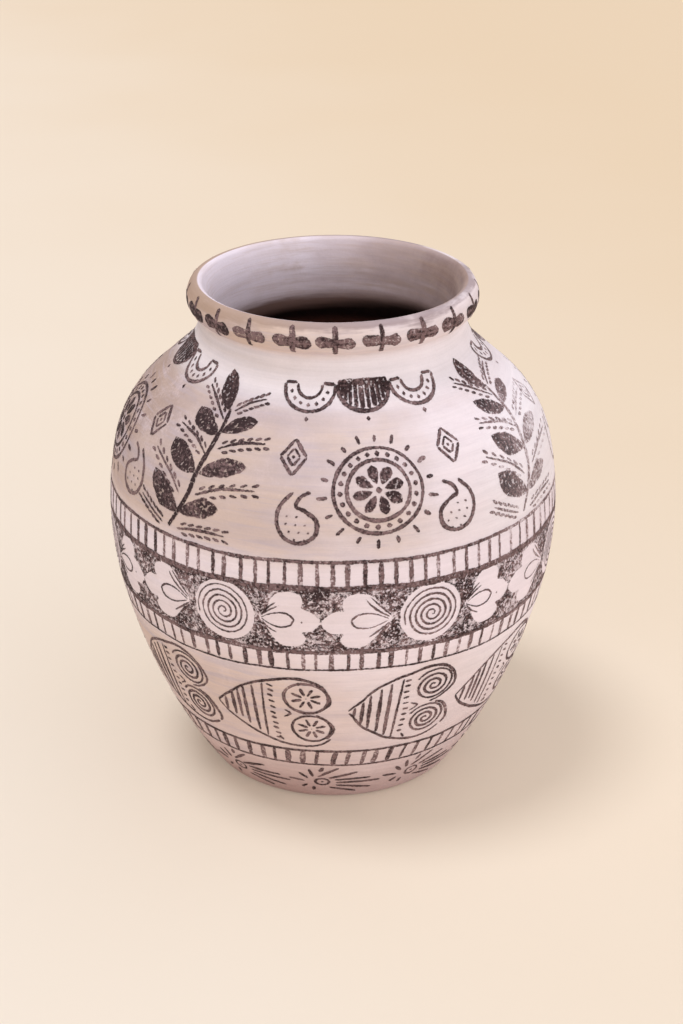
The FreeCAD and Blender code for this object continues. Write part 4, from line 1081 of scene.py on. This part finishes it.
# Between the sprigs: a rosette medallion under swags, with dotted lozenges and drops beside it.
# A swag's inner line and filling are a share of its size, and its rims a rise. Each has its width.
medallion = {
    "radius": 116.0,
    "places": [12.0, 105.5, 192.5, 278.5],
    "at": (0.0, 221.0),
    "outer": 23.5,
    "inner": 16.5,
    "middleDot": 3.6,
    "petals": 8,
    "petalReach": (3.2, 14.0),
    "petalWidth": 6.4,
    "dots": 22,
    "lineWidth": 2.6,
    "dotSize": 3.2,
    "rays": 18,
    "rayGap": 3.0,
    "rayReach": (4.6, 6.0),
    "rayWidth": 2.3,
    "swags": [(-30.0, -10.5), (-10.0, 10.0), (10.5, 30.0)],
    "swagTop": 266.0,
    "swagDrop": 16.0,
    "swagWidth": 2.7,
    "swagInner": (0.5, 2.3),
    "swagRim": (0.4, 2.2),
    "swagFill": (0.93, 3.0),
    "swagFillRim": (0.8, 4.0),
    "swagBead": 4.6,
    "lozenges": [(-22.5, 236.0), (22.5, 236.0)],
    "lozengeSize": (7.5, 10.5),
    "lozengeParts": [(1.0, 2.3), (0.5, 1.9)],
    "lozengeDot": 2.2,
    "drops": [(-20.5, 204.0, 1), (20.5, 204.0, -1)],
    "dropScale": 1.15,
    "dropWidth": 2.6,
    "dropOutline": [(-2, 15), (-7.5, 8), (-8.5, 0), (-5, -7), (2, -9), (8, -5), (8.5, 2), (3.5, 6.5),
                    (-0.5, 8.5), (1.5, 13), (6, 15.5)],
    "dropRows": [(-4.6, 2), (-5.0, 3), (-3.4, 3), (-1.0, 2)],
    "dropSpacing": (4.2, 3.7),
    "dropDot": [(0.0, 4.2), (0.6, 3.0)],
    "dropDotWidth": 2.2,
}


def drawLozenge(motif, x, y):
    wide, tall = medallion["lozengeSize"]
    for part, width in medallion["lozengeParts"]:
        corners = [(x - wide * part, y), (x, y + tall * part), (x + wide * part, y), (x, y - tall * part)]
        for first, second in zip(corners, corners[1:] + corners[:1]):
            motif.flat([first, second], width, 0.85)
    motif.dot(x, y, medallion["lozengeDot"])


def drawDrop(motif, x, y, side):
    # a curled drop with rows of dots in it
    def spot(px, py):
        return x + side * medallion["dropScale"] * px, y + medallion["dropScale"] * py

    motif.flat([spot(*point) for point in medallion["dropOutline"]], medallion["dropWidth"], 0.8)
    along, down = medallion["dropSpacing"]
    for row, (start, count) in enumerate(medallion["dropRows"]):
        for k in range(count):
            motif.flat([spot(start + along * k + px, py - down * row) for px, py in medallion["dropDot"]],
                       medallion["dropDotWidth"], 0.85)


def drawSwag(work, solid, left, right, filled):
    # a hanging half ring: either filled with close strokes, or a double line with a row of dots
    x0, y0 = work.at(left, medallion["swagTop"])
    x1 = work.at(right, medallion["swagTop"])[0]
    half, middle, drop = (x1 - x0) / 2, (x0 + x1) / 2, medallion["swagDrop"]

    def arc(part, count):
        angles = [math.pi * t / count for t in range(count + 1)]
        return [(middle - half * part * math.cos(a), y0 - drop * part * math.sin(a)) for a in angles]

    work.flat(arc(1.0, 8), medallion["swagWidth"], 0.85)
    if filled:
        part, width = medallion["swagFill"]
        for x, low in arc(part, 13)[1:-1]:
            solid.flat([(x, low), (x + 0.5, y0 + 0.5)], width, 0.9)
        rise, width = medallion["swagFillRim"]
        solid.flat([(x0, y0 + rise), (x1, y0 + rise)], width, 0.9)
    else:
        part, width = medallion["swagInner"]
        work.flat(arc(part, 6), width, 0.85)
        for x, low in arc((1 + part) / 2, 8)[1:-1]:
            work.dot(x, low, medallion["dotSize"])
        rise, width = medallion["swagRim"]
        work.flat([(x0, y0), (middle - half * part, y0 + rise)], width, 0.85)
        work.flat([(middle + half * part, y0 + rise), (x1, y0)], width, 0.85)
    work.dot(middle, y0 - drop - medallion["swagBead"], medallion["dotSize"])


def paintMedallions():
    work = Motif("medallion", medallion["radius"], medallion["at"])
    solid = Motif("medallionPetals", medallion["radius"], medallion["at"])
    outer, inner = medallion["outer"], medallion["inner"]
    for radius in (outer, inner):
        work.ring(0, 0, radius, medallion["lineWidth"])
    work.dot(0, 0, medallion["middleDot"])
    for angle in spokes(medallion["dots"], 4):
        work.dot(*away((0, 0), (outer + inner) / 2, angle), medallion["dotSize"])
    for angle in spokes(medallion["petals"], 12):
        base, tip = (away((0, 0), reach, angle) for reach in medallion["petalReach"])
        solid.leaf(base, tip, medallion["petalWidth"], 0.05, 0.6)
    for k, angle in enumerate(spokes(medallion["rays"], 7)):
        near = outer + medallion["rayGap"]
        work.flat([away((0, 0), reach, angle) for reach in (near, near + medallion["rayReach"][k % 2])],
                  medallion["rayWidth"], 0.8)
    for number, (left, right) in enumerate(medallion["swags"]):
        drawSwag(work, solid, left, right, number == 1)
    for spot in medallion["lozenges"]:
        drawLozenge(work, *work.at(*spot))
    for around, height, side in medallion["drops"]:
        drawDrop(work, *work.at(around, height), side)
    level = alongWall(medallion["at"][1])
    for k, around in enumerate(medallion["places"]):
        shared = {"first": around, "height": level, "drift": 0.4, "seed": 81 + k, "waver": 0.5}
        paintMotif(f"medallionLines{k + 1}", work, linePaint, **shared)
        paintMotif(f"medallionSolids{k + 1}", solid, leafPaint, lanes=4, lift=0.2, **shared)


paintMedallions()

# Crosses round the lip, and sunbursts between the lowest ladder and the foot.
lipCrosses = {
    "radius": 83.0,
    "count": 21,
    "first": 10.4,
    "along": 327.0,
    "lobeTip": 11.0,
    "lobeWidth": 8.6,
    "pinch": 0.28,
    "sag": 0.5,
    "uprightWidth": 3.4,
    "upright": [(-0.4, 10.4), (0.2, 4), (0.1, -3), (0.3, -7.2)],
    "footWidth": 2.8,
    "foot": [(-1.5, -6.6), (1.9, -7.0)],
}
sunbursts = {
    "radius": 86.0,
    "count": 10,
    "first": -4.0,
    "at": (-4.0, 18.0),
    "circle": 3.9,
    "dotSize": 2.2,
    "width": 2.2,
    "rayWidth": 2.6,
    "rays": [((-8.4, 30.5), (-7.2, 23)), ((-12.5, 26.5), (-9.2, 21)), ((-17, 19.6), (-10.6, 18.4)),
             ((-12.6, 11), (-10, 14.8)), ((-8, 8), (-7.4, 12.4)), ((-5.4, 23), (2.4, 32.4)),
             ((-4.4, 28), (-3.2, 33)), ((-1.5, 21.5), (9.6, 27.5)), ((0.5, 20), (15, 20.8)),
             ((1, 17), (19, 17)), ((1, 14.4), (16, 10.4)), ((-1.5, 12), (10, 7))],
}


def paintLipCrosses():
    cross = Motif("lipCross", lipCrosses["radius"], (0, 0))
    turns = [math.radians(30 * k) for k in range(13)]
    cross.strokes.append((
        [(-lipCrosses["lobeTip"] * math.cos(t / 2), lipCrosses["sag"] * math.sin(t)) for t in turns],
        [lipCrosses["lobeWidth"] / 2 * (1 - lipCrosses["pinch"] * (0.5 + 0.5 * math.cos(t * 2)))
         for t in turns], False))
    upright = Motif("lipUpright", lipCrosses["radius"], (0, 0))
    upright.flat(lipCrosses["upright"], lipCrosses["uprightWidth"], 0.8)
    upright.flat(lipCrosses["foot"], lipCrosses["footWidth"], 0.85)
    count = lipCrosses["count"]
    shared = {"count": count, "first": lipCrosses["first"] - 180, "step": 360 / count,
              "height": lipCrosses["along"], "drift": 0.9, "seed": 97, "waver": 0.9, "uneven": 0.15}
    paintMotif("lipBars", cross, lipPaint, lanes=4, **shared)
    paintMotif("lipUprights", upright, railPaint, **shared)


def paintSunbursts():
    burst = Motif("sunburst", sunbursts["radius"], sunbursts["at"])
    burst.ring(0, 0, sunbursts["circle"], sunbursts["width"])
    burst.dot(0, 0, sunbursts["dotSize"])
    for ray in sunbursts["rays"]:
        burst.line(ray, sunbursts["rayWidth"], 0.7)
    paintMotif("sunbursts", burst, linePaint, sunbursts["count"], sunbursts["first"] - 180,
               360 / sunbursts["count"], alongWall(sunbursts["at"][1]), drift=0.6, seed=101, waver=0.6)


paintLipCrosses()
paintSunbursts()
for piece in [pot] + paintPieces:
    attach(piece, "pot")
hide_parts("clay_pot")
for helper in (wallLine, sectionLine):
    bpy.data.objects.remove(helper)
print("paint finished,", sum(len(piece.data.polygons) for piece in paintPieces), "faces in all")

# Finishes of the tap's own pieces: rough and vary are its sheen and how much smudges dull it.
tapFinishes = {
    "chrome": {"colour": shade(226, 227, 229), "metal": 1.0, "rough": 0.11, "vary": 0.10, "scale": 220.0,
               "relief": 0.12, "pieces": ["tap_body", "gland_nut", "lever_handle", "spout", "valve_ball"]},
    "steel": {"colour": shade(190, 188, 184), "metal": 1.0, "rough": 0.30, "vary": 0.14, "scale": 500.0,
              "relief": 0.25, "pieces": ["backing_washer", "back_nut", "valve_stem", "lever_screw"]},
    "silicone": {"colour": shade(214, 208, 200), "metal": 0.0, "rough": 0.48, "vary": 0.10, "scale": 300.0,
                 "relief": 0.2, "pieces": ["outer_gasket", "inner_gasket"]},
    "ptfe": {"colour": shade(240, 239, 234), "metal": 0.0, "rough": 0.42, "vary": 0.08, "scale": 300.0,
             "relief": 0.2, "pieces": ["rear_seat", "front_seat", "thrust_washer"]},
    "rubber": {"colour": shade(34, 33, 34), "metal": 0.0, "rough": 0.62, "vary": 0.10, "scale": 600.0,
               "relief": 0.3, "pieces": ["stem_seal"]},
}
smudges = {
    "cloudScale": 0.2,
    "fineScale": 4,
    "range": (0.45, 0.75),
    "dulling": 0.82,
    "depth": 0.04 * mm,
}


def makeTapFinish(name, look):
    material, sheet = newMaterial("tap" + name.capitalize())
    place = sheet.add("ShaderNodeTexCoord", out="Object")
    cloud = sheet.noise(place, look["scale"] * smudges["cloudScale"], 3.0, 0.6)
    fine = sheet.noise(place, look["scale"] * smudges["fineScale"], 3.0, 0.6)
    smudge = (cloud * 0.8 + fine * 0.3).rise(*smudges["range"])
    dull = tuple(channel * smudges["dulling"] for channel in look["colour"])
    bump = sheet.add("ShaderNodeBump", {
        "Height": fine, "Distance": smudges["depth"], "Strength": look["relief"]})
    endMaterial(sheet, {
        "Base Color": sheet.blend(smudge * 0.6, look["colour"], dull), "Metallic": look["metal"],
        "Roughness": smudge * look["vary"] + look["rough"], "Normal": bump})
    return material


for name, look in tapFinishes.items():
    finish = makeTapFinish(name, look)
    for node in look["pieces"]:
        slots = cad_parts[node].data.materials
        slots.clear()
        slots.append(finish)
print("tap finished")

# Room: a pale cream floor that runs out of the picture, soft sky light and one broad lamp.
# evenness is the share of the floor that glows by itself where it is seen, as a bright wide room does.
room = {
    "floorSize": 40.0,
    "floorNear": shade(247, 237, 224),
    "floorFar": shade(234, 212, 183),
    "floorDrift": (-0.45, 0.85),
    "floorRough": 0.95,
    "evenness": 0.2,
    "skyCool": shade(250, 248, 253),
    "skyWarm": shade(255, 245, 234),
    "skyDrift": (-0.8, 0.8),
    "skyStrength": 0.408,
    "skyTilt": (0.93, -0.52, 0.62),
    "skyEnds": 0.70,
    "backdropNear": shade(250, 239, 225),
    "backdropFar": shade(238, 214, 187),
    "backdropHigh": shade(86, 82, 85),
    "backdropRise": (0.17, 0.46),
    "backdropDrift": (-0.03, 0.04),
    "sunStrength": 1.25,
    "sunColour": (0.97, 0.99, 1.05),
    "sunFrom": (-0.28, -0.05, 1.0),
    "sunWidth": 20.0,
}
camera = {
    "lens": 72.07,
    "place": (0.005, -1.1067, 0.6713),
    "aim": (0.005, 0.0, 0.1524),
    "reach": (0.05, 50),
}


def endMixed(sheet, output, first, second, share):
    # The second shader takes its share only where a ray shows the room itself, not where it gathers light.
    path = sheet.add("ShaderNodeLightPath")
    seen = path.atLeast(path.other("Is Glossy Ray")).atLeast(path.other("Is Transmission Ray"))
    surface = sheet.add("ShaderNodeMixShader", {0: seen * share, 1: first, 2: second})
    sheet.add(output, {"Surface": surface})


def makeFloor():
    material, sheet = newMaterial("paleFloor")
    place = sheet.add("ShaderNodeTexCoord", out="Object")
    x, y, _ = sheet.split(place)
    drift = y * 0.28 + x * 0.75 + sheet.noise(place, 2.5, 2.0) * 0.3 - 0.05
    colour = sheet.blend(drift.rise(*room["floorDrift"]), room["floorNear"], room["floorFar"])
    plain = sheet.add("ShaderNodeBsdfPrincipled", {
        "Base Color": colour, "Roughness": room["floorRough"], "Specular IOR Level": 0.1})
    glow = sheet.add("ShaderNodeEmission", {"Color": colour})
    endMixed(sheet, "ShaderNodeOutputMaterial", plain, glow, room["evenness"])
    half = room["floorSize"] / 2
    mesh = bpy.data.meshes.new("floor")
    corners = [(-half, -half, 0), (half, -half, 0), (half, half, 0), (-half, half, 0)]
    mesh.from_pydata(corners, [], [range(4)])
    mesh.materials.append(material)
    floor = makeObject("floor", mesh)


def makeLight():
    world = bpy.data.worlds.new("softSky")
    world.use_nodes = True
    world.node_tree.nodes.clear()
    sheet = NodeSheet(world.node_tree)
    x, y, z = sheet.split(sheet.add("ShaderNodeTexCoord", out="Generated"))
    colour = sheet.blend(x.rise(*room["skyDrift"]), room["skyWarm"], room["skyCool"])
    tiltX, tiltY, tiltZ = room["skyTilt"]
    tilt = x * tiltX + y * tiltY + z * tiltZ + y.math("ABSOLUTE") * room["skyEnds"]
    strength = ((tilt + 1) * room["skyStrength"]).atLeast(0.0)
    sky = sheet.add("ShaderNodeBackground", {"Color": colour, "Strength": strength})
    drift = (x * 0.75 + y * 0.28).rise(*room["backdropDrift"])
    low = sheet.blend(drift, room["backdropNear"], room["backdropFar"])
    pale = sheet.blend(z.rise(*room["backdropRise"]), low, room["backdropHigh"])
    backdrop = sheet.add("ShaderNodeBackground", {"Color": pale, "Strength": 1.0})
    endMixed(sheet, "ShaderNodeOutputWorld", sky, backdrop, 1.0)
    bpy.context.scene.world = world
    data = bpy.data.lights.new("broadLamp", "SUN")
    data.energy, data.color = room["sunStrength"], room["sunColour"]
    data.angle = math.radians(room["sunWidth"])
    lamp = makeObject("broadLamp", data)
    lamp.rotation_euler = Vector(room["sunFrom"]).to_track_quat("Z", "Y").to_euler()


def makeCamera():
    data = bpy.data.cameras.new("camera")
    data.lens = camera["lens"]
    data.clip_start, data.clip_end = camera["reach"]
    made = makeObject("camera", data)
    made.location = camera["place"]
    ahead = Vector(camera["aim"]) - made.location
    made.rotation_euler = ahead.to_track_quat("-Z", "Y").to_euler()
    bpy.context.scene.camera = made


makeFloor()
makeLight()
makeCamera()
bpy.context.scene.view_settings.view_transform = "Standard"
print("room made")
